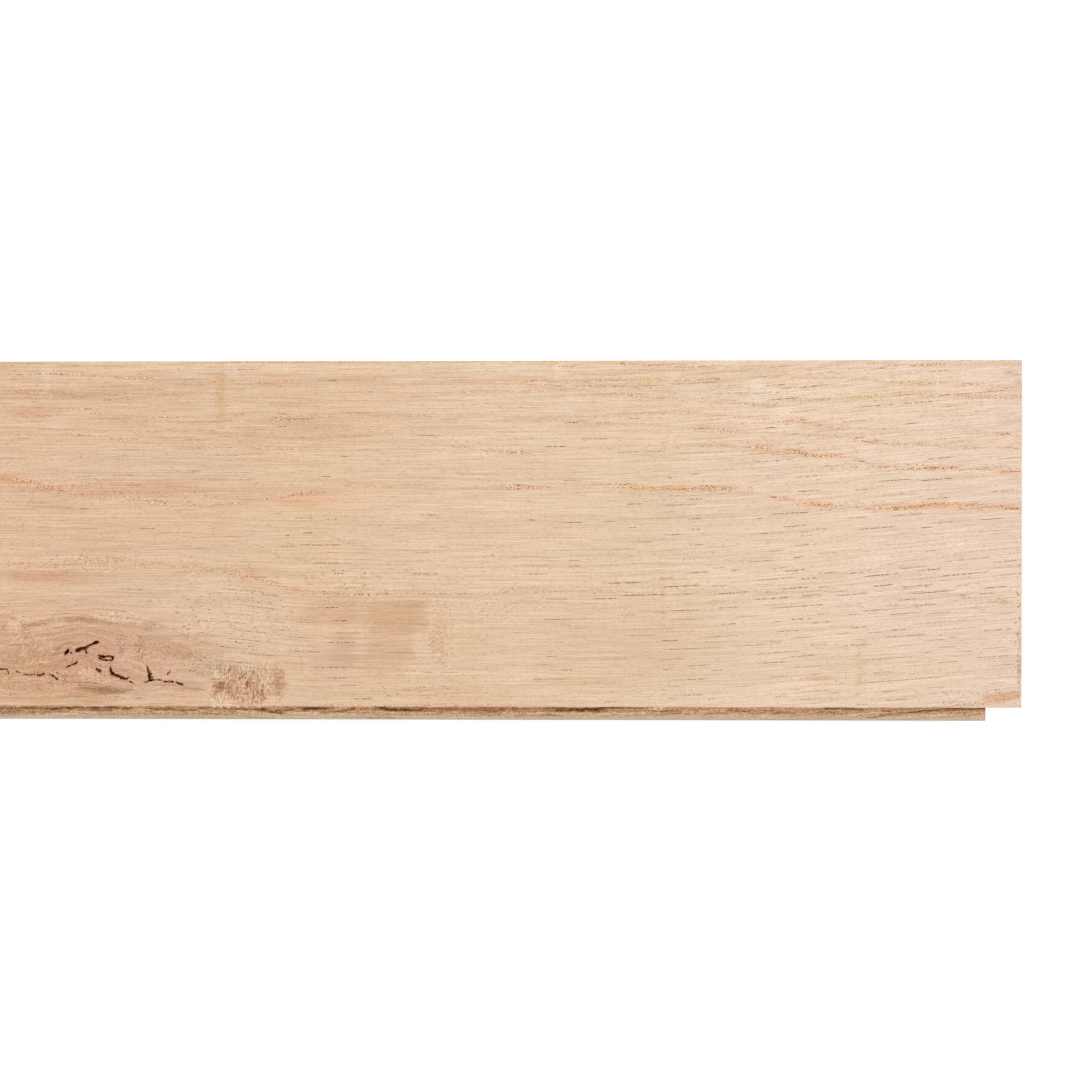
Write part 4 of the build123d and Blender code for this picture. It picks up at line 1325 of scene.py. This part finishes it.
def mark_wood(bm):
    """Gives each vertex and face its place in the tree and its colour."""
    curves = ring_curves()
    verts = bm.verts.layers
    wood, tint = verts.float_vector.new("wood"), verts.float_color.new("tint")
    ring, warmth, band = verts.float.new("ring"), verts.float.new("warmth"), verts.float.new("band")
    crack, torn, knot = verts.float.new("crack"), verts.float.new("torn"), verts.float.new("knot")
    sawn = verts.float.new("sawn")
    end_grain = bm.faces.layers.float.new("end_grain")
    for vert in bm.verts:
        x, y, z = vert.co
        radius = math.hypot(y - PITH_Y, z - PITH_Z)
        vert[wood] = (x, around_pith(x, y, z), radius)
        vert[ring], vert[warmth], vert[band] = ring_at(curves, x, y, radius)
        on_tongue_side = y < FACE_FRONT + TOUCH and TONGUE_BOTTOM + TOUCH < z < TONGUE_TOP + TOUCH
        colour = tongue_tint(x, y) if on_tongue_side else face_tint(x, y)
        vert[tint] = (*colour, 1.0)
        vert[sawn] = smooth(SIDE_TONGUE, SIDE_TONGUE * 0.4, FACE_FRONT - y) if on_tongue_side else 0.0
        if in_knot_area(x, y) and z > TONGUE_TOP + 1:
            vert[crack] = crack_at(x, y)[0]
            vert[knot] = 1 - smooth(0.55, 1.0, near(x, y, *KNOT) + 0.15 * rough(x / 5, y / 5, 1.0))
            vert[torn] = 1 - smooth(0.5, 1.1, near(x, y, *TORN) + 0.9 * rough(x / 4.5, y / 3.5, 3.0))
    for face in bm.faces:
        face[end_grain] = abs(face.normal.x) > 0.7
    lay_marks(bm, wood)


# The map that colours are baked on: shares of its width for a millimetre of each side, the gap
# between charts, how far a chart reaches beyond the board and lies in from the map's edge, in
# millimetres, how far apart the two ends lie, in widths of the board, and the room they need upward
SEEN_SIDE_SCALE = 0.0022
BACK_SIDE_SCALE = 0.00124
END_SCALE = 0.0017
MAP_GAP = 0.006
CHART_REACH = 1.0
CHART_INSET = 3.0
END_SPACING = 1.1
END_PROFILE = FACE_LEVEL + 2 * END_GROOVE


def turned(start, end):
    """The unit direction a quarter turn clockwise from the way from one place to another."""
    length = math.dist(start, end)
    return (end[1] - start[1]) / length, (start[0] - end[0]) / length


def section_strips():
    """The stretches of the section, seen and hidden ones apart, and how long each kind is unrolled."""
    corners = section_corners()
    first_seen = corners.index((BACK, GROOVE_TOP))
    last_seen = corners.index((FRONT, TONGUE_BOTTOM))
    strips = {"seen": [], "hidden": []}
    passed = {"seen": 0.0, "hidden": 0.0}
    for i, start in enumerate(corners):
        end = corners[(i + 1) % len(corners)]
        kind = "seen" if first_seen <= i < last_seen else "hidden"
        strips[kind].append((0, start, end, turned(start, end), passed[kind]))
        passed[kind] += math.dist(start, end)
    return strips, passed


def end_strips(high):
    """The stretches of both ends' profiles, unrolled from the face down to a height of the map."""
    left_back, right_back = FACE_LEFT + WALL_SETBACK, RIGHT - WALL_SETBACK
    profiles = (
        ((FACE_LEFT, FACE_LEVEL), (FACE_LEFT, TONGUE_TOP), (LEFT, TONGUE_TOP), (LEFT, TONGUE_BOTTOM),
         (left_back, TONGUE_BOTTOM), (left_back, 0.0)),
        ((RIGHT, FACE_LEVEL), (RIGHT, GROOVE_TOP), (END_GROOVE_FLOOR, GROOVE_TOP),
         (END_GROOVE_FLOOR, GROOVE_BOTTOM), (right_back, GROOVE_BOTTOM), (right_back, 0.0)),
    )
    x_ranges = (LEFT - CHART_REACH, left_back + TOUCH), (END_GROOVE_FLOOR - TOUCH, RIGHT + CHART_REACH)
    strips = []
    for side, profile in enumerate(profiles):
        origin = (MAP_GAP + (BACK - FRONT) * END_SCALE * side * END_SPACING - FRONT * END_SCALE, high)
        down = 0.0
        for start, end in zip(profile, profile[1:]):
            out = turned(start, end)
            outward = tuple(-part for part in out) if side else out
            strips.append((1, start, end, outward, down, x_ranges[side], origin, END_SCALE))
            down += math.dist(start, end)
    return strips


def map_strips():
    """Each flat strip of the board's surface, with its place on the map.

    A strip is a stretch of an outline: the section, unrolled across, or an end's profile. It gives the
    axis that it is drawn along, the stretch's two ends, its outward direction, how far along the
    outline it begins, the range of x it serves, and the corner and scale of its chart.
    """
    strips, passed = section_strips()
    high = MAP_GAP
    charts = []
    for x_low, x_high in ((LEFT - CHART_REACH, 0.0), (0.0, RIGHT + CHART_REACH)):
        high += passed["seen"] * SEEN_SIDE_SCALE
        origin = (MAP_GAP - (x_low - CHART_INSET) * SEEN_SIDE_SCALE, high)
        charts += [(*strip, (x_low, x_high), origin, SEEN_SIDE_SCALE) for strip in strips["seen"]]
        high += MAP_GAP
    high += passed["hidden"] * BACK_SIDE_SCALE
    origin = (MAP_GAP - LEFT * BACK_SIDE_SCALE, high)
    whole = (LEFT - CHART_REACH, RIGHT + CHART_REACH)
    charts += [(*strip, whole, origin, BACK_SIDE_SCALE) for strip in strips["hidden"]]
    return charts + end_strips(high + MAP_GAP + END_PROFILE * END_SCALE)


def along_stretch(start, end, place):
    """How far along a stretch a place lies, in millimetres, and how far it is off the stretch."""
    length = math.dist(start, end)
    run = (end[0] - start[0]) / length, (end[1] - start[1]) / length
    along = (place[0] - start[0]) * run[0] + (place[1] - start[1]) * run[1]
    nearest = min(length, max(0.0, along))
    off = place[0] - start[0] - run[0] * nearest, place[1] - start[1] - run[1] * nearest
    return along, math.hypot(*off)


def across_outline(drawn_along, place):
    """A place or direction as its outline shows it: Y and Z if drawn along X, X and Z if along Y."""
    return place[1 - drawn_along], place.z


def best_strip(strips, face):
    """The strip of the map that a face lies on, or lies closest to."""
    middle, normal = face.calc_center_median(), face.normal
    best, best_score = None, -math.inf
    for strip in strips:
        drawn_along, start, end, out, _, x_range, _, _ = strip
        if not x_range[0] <= middle.x <= x_range[1]:
            continue
        across, up = across_outline(drawn_along, normal)
        facing = across * out[0] + up * out[1]
        off = along_stretch(start, end, across_outline(drawn_along, middle))[1]
        if facing - off > best_score + 1e-6:
            best, best_score = strip, facing - off
    return best


def lay_out_map(bm):
    """Gives each face its place on the map for baked pictures, apart from all others."""
    layer = bm.loops.layers.uv.new("OFBake")
    strips = map_strips()
    face_strips = [strip for strip in strips if strip[1] == (BACK, FACE_LEVEL) and strip[0] == 0]
    for face in bm.faces:
        if on_top(face):
            strip = face_strips[face.calc_center_median().x > 0]
        else:
            strip = best_strip(strips, face)
        drawn_along, start, end, _, passed, _, origin, scale = strip
        for loop in face.loops:
            place = loop.vert.co
            unrolled = passed + along_stretch(start, end, across_outline(drawn_along, place))[0]
            loop[layer].uv = origin[0] + place[drawn_along] * scale, origin[1] - unrolled * scale


def build_board():
    """The whole board as one object, in metres."""
    bm = bmesh.new()
    shape_board(bm)
    divide(bm)
    refine_worn_places(bm)
    bmesh.ops.triangulate(bm, faces=bm.faces[:])
    bmesh.ops.dissolve_degenerate(bm, dist=NARROWEST, edges=bm.edges[:])
    bmesh.ops.triangulate(bm, faces=bm.faces[:])
    bm.normal_update()
    mark_wood(bm)
    lay_out_map(bm)
    weather(bm)
    bmesh.ops.scale(bm, vec=(MM, MM, MM), verts=bm.verts[:])
    mesh = bpy.data.meshes.new("oak_board")
    bm.to_mesh(mesh)
    bm.free()
    mesh.shade_smooth()
    mesh.set_sharp_from_angle(angle=math.radians(SHARP_DEGREES))
    board = bpy.data.objects.new("oak_board", mesh)
    bpy.context.scene.collection.objects.link(board)
    return board


def empty_tree(owner):
    """The node tree of a material or a world, with nothing in it yet."""
    owner.use_nodes = True
    owner.node_tree.nodes.clear()
    return owner.node_tree


def add(tree, kind, *values, output=0, inputs=None, **settings):
    """Adds a shader node with its settings. Values and links go to its sockets in order, or by name."""
    made = tree.nodes.new("ShaderNode" + kind)
    for name, value in settings.items():
        setattr(made, name, value)
    wanted = list(enumerate(values)) + list((inputs or {}).items())
    for key, value in wanted:
        if isinstance(value, bpy.types.NodeSocket):
            tree.links.new(value, made.inputs[key])
        elif value is not None:
            made.inputs[key].default_value = value
    return made.outputs[output] if made.outputs else None


# Grain of the wood: how long, wide and deep its streaks are, in millimetres, and how strong
STREAKS = (
    ((0.36, 0.22, 0.4), 0.44),
    ((6.0, 0.28, 0.5), 0.12),
    ((22.0, 0.30, 0.5), 0.44),
    ((55.0, 0.80, 1.2), 0.15),
    ((160.0, 6.00, 9.0), 0.08),
    ((7.0, 50.0, 50.0), 0.03),
)
# Darker grain is browner: how much red, green and blue follow the grain
GRAIN_TINT = (0.88, 1.02, 1.2)

# Patterns of the wood: cell size in millimetres along the fibres, around the pith and out from it
PORES = (1.8, 0.26, 0.6)
PALE_FIBRES = (14.0, 0.28, 0.6)
RING_WAVER = (13.0, 1.3, 2.0)
RING_STREAKS = (13.0, 0.45, 0.6)
EARLYWOOD_PATCHES = (18.0, 0.8, 1.0)
EARLYWOOD_SPECKLE = (0.65, 0.27, 0.5)
MARK_WAVER = (2.5, 2.0, 2.0)
MARK_DOTS = (0.5, 0.9, 5.0)
TONGUE_SCARS = (5.0, 0.8, 0.8)
TONGUE_CHIPS = (0.7, 0.32, 0.5)
END_RAYS = (60.0, 0.35, 14.0)

# Patterns of the knot, the torn grain and the cracks: cell size along, across and up the board
KNOT_CURLS = (0.55, 0.45, 0.5)
TORN_TUFTS = (0.42, 1.0, 1.0)
CRACK_CHIPS = (0.9, 0.6, 0.8)
CRACK_FRAY = (0.42, 0.36, 0.5)
CRACK_FIBRES = (0.8, 0.45, 0.8)

# Shares of the wood's red, green and blue that a shade leaves, or that a light chip adds to
PORE_SHADE = (0.62, 0.50, 0.42)
RING_SHADE = (0.93, 0.84, 0.76)
SPECKLE_SHADE = (0.42, 0.28, 0.20)
RAY_SHADE = (0.32, 0.14, 0.02)
CRACK_RIM_SHADE = (0.54, 0.30, 0.17)
# Gaps between torn tufts: browner wood, partly painted shade
TUFT_GAP_BROWN_AND_SHADE = (0.62, 0.44, 0.36)
SCAR_SHADE = (0.60, 0.37, 0.26)
CHIP_SHADE = (0.58, 0.40, 0.30)
CHIP_LIGHT = (1.30, 1.28, 1.24)
END_GRAIN_SHADE = (0.74, 0.66, 0.58)

# Colours laid over the wood
PALE_FIBRE = "#f6e2c8"
EARLYWOOD_ORANGE = "#ecaa74"
EARLYWOOD_CREAM = "#f8e4c4"
FLECK_CREAM = "#f7e0bd"
KNOT_CREAM = "#efcfae"
# Tops of torn tufts: pale fibres, partly painted highlight
TUFT_CREAM_AND_HIGHLIGHT = "#f2d2b2"
# The bottom of a crack: partly dark wood and partly painted shade of its depth
CRACK_BOTTOM_BROWN_AND_SHADE = "#2e1003"
END_RAY_CREAM = "#e6cdae"

# The surface: dull, with a slight sheen where the fibres are cut clean, and none on rough wood. The
# relief of grain and rays is in metres.
ROUGHNESS = 0.8
PLANED_SHEEN = 0.25
ROUGH_SHEEN = 0.03
RELIEF = 0.0003
RELIEF_STRENGTH = 0.35

# The studio, in metres and watts: floor, lamp and the brightness of its surroundings
FLOOR_RADIUS = 12.0
FLOOR_PAPER = "#e6e6e6"
FLOOR_LIFT = 0.62
ROOM_LIGHT = 0.65
BACKDROP_LIGHT = 1.0
LAMP_WIDTH = 1.6
LAMP_POWER = 30.6
LAMP_PLACE = (-0.6, 1.2, 2.2)
LAMP_AIM = (0.1, 0, 0)


def mottle(tree, place, size, detail=0.0):
    """Noise from 0 to 1 whose cells have a size in millimetres."""
    scaled = add(tree, "VectorMath", place, [1 / length for length in size], operation="MULTIPLY")
    return add(tree, "TexNoise", inputs={"Vector": scaled, "Scale": 1.0, "Detail": detail})


def waver(tree, place, size, reach):
    """Noise that swings as far below 0 as above it, whose cells have a size in millimetres."""
    return add(tree, "MapRange", mottle(tree, place, size), 0.2, 0.8, -reach, reach)


def within(tree, pattern, rise, mask):
    """Where a pattern has risen from one level to another, up to a share, within a mask."""
    risen = add(tree, "MapRange", pattern, *rise[:2], 0.0, rise[2])
    return add(tree, "Math", risen, mask, operation="MULTIPLY")


def paint(tree, colour, share, paint_colour):
    """The wood's colour with another over it, by a share."""
    return add(tree, "Mix", share, data_type="RGBA", output=2, inputs={6: colour, 7: linear(paint_colour)})


def tinge(tree, colour, share, shade):
    """The wood's colour with a darker or lighter shade of itself over it, by a share."""
    shaded = add(tree, "VectorMath", colour, shade, operation="MULTIPLY")
    return add(tree, "Mix", share, data_type="RGBA", output=2, inputs={6: colour, 7: shaded})


def grain_level(tree, wood):
    """The sum of the streaks, around 0: below it the wood is darker."""
    level = -sum(strength for _, strength in STREAKS) / 2
    for size, strength in STREAKS:
        level = add(tree, "Math", mottle(tree, wood, size), strength, level, operation="MULTIPLY_ADD")
    return level


def paint_fibres(tree, colour, wood):
    """Fine dark pores between the streaks, and pale fibres."""
    pores = mottle(tree, wood, PORES)
    colour = tinge(tree, colour, add(tree, "MapRange", pores, 0.66, 0.74, 0.0, 0.5), PORE_SHADE)
    fibres = mottle(tree, wood, PALE_FIBRES)
    return paint(tree, colour, add(tree, "MapRange", fibres, 0.62, 0.80, 0.0, 0.35), PALE_FIBRE)


def paint_earlywood(tree, colour, wood):
    """A thin brown line where each ring begins, and beside it patches speckled orange and cream."""
    line = add(tree, "Attribute", attribute_name="band", output="Fac")
    warmth = add(tree, "Attribute", attribute_name="warmth", output="Fac")
    past = add(tree, "Attribute", attribute_name="ring", output="Fac")
    past = add(tree, "Math", past, waver(tree, wood, RING_WAVER, 0.8), operation="ADD")
    beside = add(tree, "Math", add(tree, "Math", past, 0.2, operation="ADD"), operation="ABSOLUTE")
    line = within(tree, beside, (1.6, 0.3, 1.0), line)
    streaks = mottle(tree, wood, RING_STREAKS, 1.0)
    line = add(tree, "Math", line, add(tree, "MapRange", streaks, 0.38, 0.6, 0.1, 0.9), operation="MULTIPLY")
    colour = tinge(tree, colour, line, RING_SHADE)
    porous = add(tree, "MapRange", past, -0.65, -0.35, 0.0, 1.0)
    porous = within(tree, past, (EARLYWOOD_WIDTH, EARLYWOOD_FULL, 1.0), porous)
    porous = add(tree, "Math", porous, warmth, operation="MULTIPLY")
    porous = within(tree, mottle(tree, wood, EARLYWOOD_PATCHES, 1.0), (0.40, 0.54, 1.35), porous)
    colour = paint(tree, colour, add(tree, "Math", porous, 0.42, operation="MULTIPLY"), EARLYWOOD_ORANGE)
    speckle = mottle(tree, wood, EARLYWOOD_SPECKLE)
    colour = tinge(tree, colour, within(tree, speckle, (0.54, 0.62, 1.0), porous), SPECKLE_SHADE)
    return paint(tree, colour, within(tree, speckle, (0.44, 0.35, 0.9), porous), EARLYWOOD_CREAM)


def paint_knot(tree, colour, place, knot):
    """Knotty grain: fine curls, brown and cream."""
    curls = mottle(tree, place, KNOT_CURLS, 1.0)
    colour = tinge(tree, colour, within(tree, curls, (0.54, 0.72, 0.35), knot), PORE_SHADE)
    return paint(tree, colour, within(tree, curls, (0.46, 0.30, 0.35), knot), KNOT_CREAM)


def paint_torn_grain(tree, colour, place, torn):
    """Torn grain: short upright tufts, pale on top and brown between: partly painted highlight and shade."""
    tufts = mottle(tree, place, TORN_TUFTS, 1.0)
    colour = tinge(tree, colour, within(tree, tufts, (0.42, 0.34, 0.28), torn), TUFT_GAP_BROWN_AND_SHADE)
    return paint(tree, colour, within(tree, tufts, (0.56, 0.66, 0.45), torn), TUFT_CREAM_AND_HIGHLIGHT)


def paint_rough_tongue(tree, colour, wood, sawn):
    """The tongue's root: rough brown and reddish streaks, and small chips, dark and light."""
    scars = mottle(tree, wood, TONGUE_SCARS, 2.0)
    colour = tinge(tree, colour, within(tree, scars, (0.54, 0.61, 0.6), sawn), SCAR_SHADE)
    chips = mottle(tree, wood, TONGUE_CHIPS, 1.0)
    colour = tinge(tree, colour, within(tree, chips, (0.54, 0.62, 0.8), sawn), CHIP_SHADE)
    return tinge(tree, colour, within(tree, chips, (0.45, 0.37, 0.8), sawn), CHIP_LIGHT)


def paint_marks(tree, colour, wood):
    """Brown rays and flecks, dotted where pores cross them, and pale flecks. Also gives their depth."""
    mark = add(tree, "Attribute", attribute_name="mark", output="Vector")
    parts = tree.nodes.new("ShaderNodeSeparateXYZ")
    tree.links.new(mark, parts.inputs[0])
    along, across, strength = parts.outputs
    across = add(tree, "Math", across, waver(tree, wood, MARK_WAVER, 0.35), operation="ADD")
    across = add(tree, "Math", across, operation="ABSOLUTE")
    body = add(tree, "MapRange", across, 0.5, 1.4, 1.0, 0.0)
    body = within(tree, add(tree, "Math", along, operation="ABSOLUTE"), (1.15, 0.8, 1.0), body)
    dots = add(tree, "MapRange", mottle(tree, wood, MARK_DOTS), 0.38, 0.53, 0.12, 1.0)
    dark = within(tree, strength, (0.0, 0.82, 1.0), add(tree, "Math", body, dots, operation="MULTIPLY"))
    colour = tinge(tree, colour, dark, RAY_SHADE)
    pale = within(tree, strength, (0.0, -1.0, 1.0), body)
    return paint(tree, colour, pale, FLECK_CREAM), dark


def paint_cracks(tree, colour, place, crack):
    """Cracks: a reddish brown rim, ragged, and a nearly black bottom with brown fibres left in it."""
    inside = add(tree, "Math", crack, waver(tree, place, CRACK_CHIPS, 0.27), operation="ADD")
    inside = add(tree, "Math", inside, waver(tree, place, CRACK_FRAY, 0.22), operation="ADD")
    colour = tinge(tree, colour, add(tree, "MapRange", inside, 0.74, 1.04, 0.0, 1.0), CRACK_RIM_SHADE)
    # The nearly black bottom is partly dark wood and partly painted shade of the crack's depth
    dark = add(tree, "MapRange", inside, 0.97, 1.17, 0.0, 0.97)
    fibres = add(tree, "MapRange", mottle(tree, place, CRACK_FIBRES), 0.60, 0.70, 1.0, 0.4)
    return paint(tree, colour, add(tree, "Math", dark, fibres, operation="MULTIPLY"), CRACK_BOTTOM_BROWN_AND_SHADE)


def paint_end_grain(tree, colour, wood, end_grain):
    """End grain: darker, with fine pale rays out from the pith."""
    rays = mottle(tree, wood, END_RAYS)
    colour = paint(tree, colour, within(tree, rays, (0.60, 0.72, 0.6), end_grain), END_RAY_CREAM)
    return tinge(tree, colour, end_grain, END_GRAIN_SHADE)


def red_oak():
    """Planed red oak with no finish: matt, pale tan to pink, with orange pores and brown rays."""
    material = bpy.data.materials.new("planed_red_oak")
    tree = empty_tree(material)
    wood = add(tree, "Attribute", attribute_name="wood", output="Vector")
    tint = add(tree, "Attribute", attribute_name="tint", output="Color")
    sawn, knot, torn, crack, end_grain = (
        add(tree, "Attribute", attribute_name=name, output="Fac")
        for name in ("sawn", "knot", "torn", "crack", "end_grain")
    )
    place = add(tree, "VectorMath", add(tree, "TexCoord", output="Object"), operation="SCALE",
                inputs={"Scale": 1000.0})

    # Streaks of the fibres, stronger on the tongue, which cutters left rough
    grain = grain_level(tree, wood)
    rougher = add(tree, "Math", sawn, 1.0, 1.0, operation="MULTIPLY_ADD")
    grain = add(tree, "Math", grain, rougher, operation="MULTIPLY")
    shade = add(tree, "VectorMath", grain, GRAIN_TINT, (1, 1, 1), operation="MULTIPLY_ADD")
    colour = add(tree, "VectorMath", tint, shade, operation="MULTIPLY")

    colour = paint_fibres(tree, colour, wood)
    colour = paint_earlywood(tree, colour, wood)
    colour = paint_knot(tree, colour, place, knot)
    colour = paint_torn_grain(tree, colour, place, torn)
    colour = paint_rough_tongue(tree, colour, wood, sawn)
    colour, dark = paint_marks(tree, colour, wood)
    colour = paint_cracks(tree, colour, place, crack)
    colour = paint_end_grain(tree, colour, wood, end_grain)

    height = add(tree, "Math", dark, -1.0, grain, operation="MULTIPLY_ADD")
    bump = add(tree, "Bump", inputs={"Height": height, "Strength": RELIEF_STRENGTH, "Distance": RELIEF})
    unplaned = add(tree, "Math", sawn, crack, operation="MAXIMUM")
    sheen = add(tree, "MapRange", unplaned, 0.0, 1.0, PLANED_SHEEN, ROUGH_SHEEN)
    surface = add(tree, "BsdfPrincipled", inputs={
        "Base Color": colour, "Roughness": ROUGHNESS, "Specular IOR Level": sheen, "Normal": bump,
    })
    add(tree, "OutputMaterial", surface)
    return material


def seen_directly(tree):
    """1 for what the camera sees, also by reflection or through glass, and 0 for light on the board."""
    seen = add(tree, "LightPath", output="Is Camera Ray")
    for other in ("Is Glossy Ray", "Is Transmission Ray"):
        seen = add(tree, "Math", seen, add(tree, "LightPath", output=other), operation="MAXIMUM")
    return seen


def studio_floor():
    """A white floor that is brighter to the camera than it lights the board, and keeps its shadow."""
    bm = bmesh.new()
    bmesh.ops.create_circle(bm, cap_ends=True, segments=64, radius=FLOOR_RADIUS)
    mesh = bpy.data.meshes.new("studio_floor")
    bm.to_mesh(mesh)
    bm.free()
    floor = bpy.data.objects.new("studio_floor", mesh)
    bpy.context.scene.collection.objects.link(floor)
    material = bpy.data.materials.new("white_paper_floor")
    tree = empty_tree(material)
    seen = seen_directly(tree)
    paper = add(tree, "BsdfDiffuse", linear(FLOOR_PAPER))
    lift = add(tree, "Emission", (1, 1, 1, 1), FLOOR_LIFT)
    lifted = add(tree, "AddShader", paper, lift)
    surface = add(tree, "MixShader", seen, paper, lifted)
    add(tree, "OutputMaterial", surface)
    mesh.materials.append(material)


def studio_light():
    """White surroundings and one wide lamp up and to the left, for soft even light."""
    world = bpy.data.worlds.new("white_studio")
    bpy.context.scene.world = world
    tree = empty_tree(world)
    seen = seen_directly(tree)
    room = add(tree, "Background", (1, 1, 1, 1), ROOM_LIGHT)
    backdrop = add(tree, "Background", (1, 1, 1, 1), BACKDROP_LIGHT)
    shown = add(tree, "MixShader", seen, room, backdrop)
    add(tree, "OutputWorld", shown)
    lamp_data = bpy.data.lights.new("wide_lamp", "AREA")
    lamp_data.shape = "DISK"
    lamp_data.size = LAMP_WIDTH
    lamp_data.energy = LAMP_POWER
    lamp = bpy.data.objects.new("wide_lamp", lamp_data)
    lamp.location = LAMP_PLACE
    aim = Vector(LAMP_AIM) - lamp.location
    lamp.rotation_euler = aim.to_track_quat("-Z", "Y").to_euler()
    bpy.context.scene.collection.objects.link(lamp)


studio_floor()
studio_light()
board = build_board()
board.data.materials.append(red_oak())
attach(board, "root")
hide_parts("floorboard")
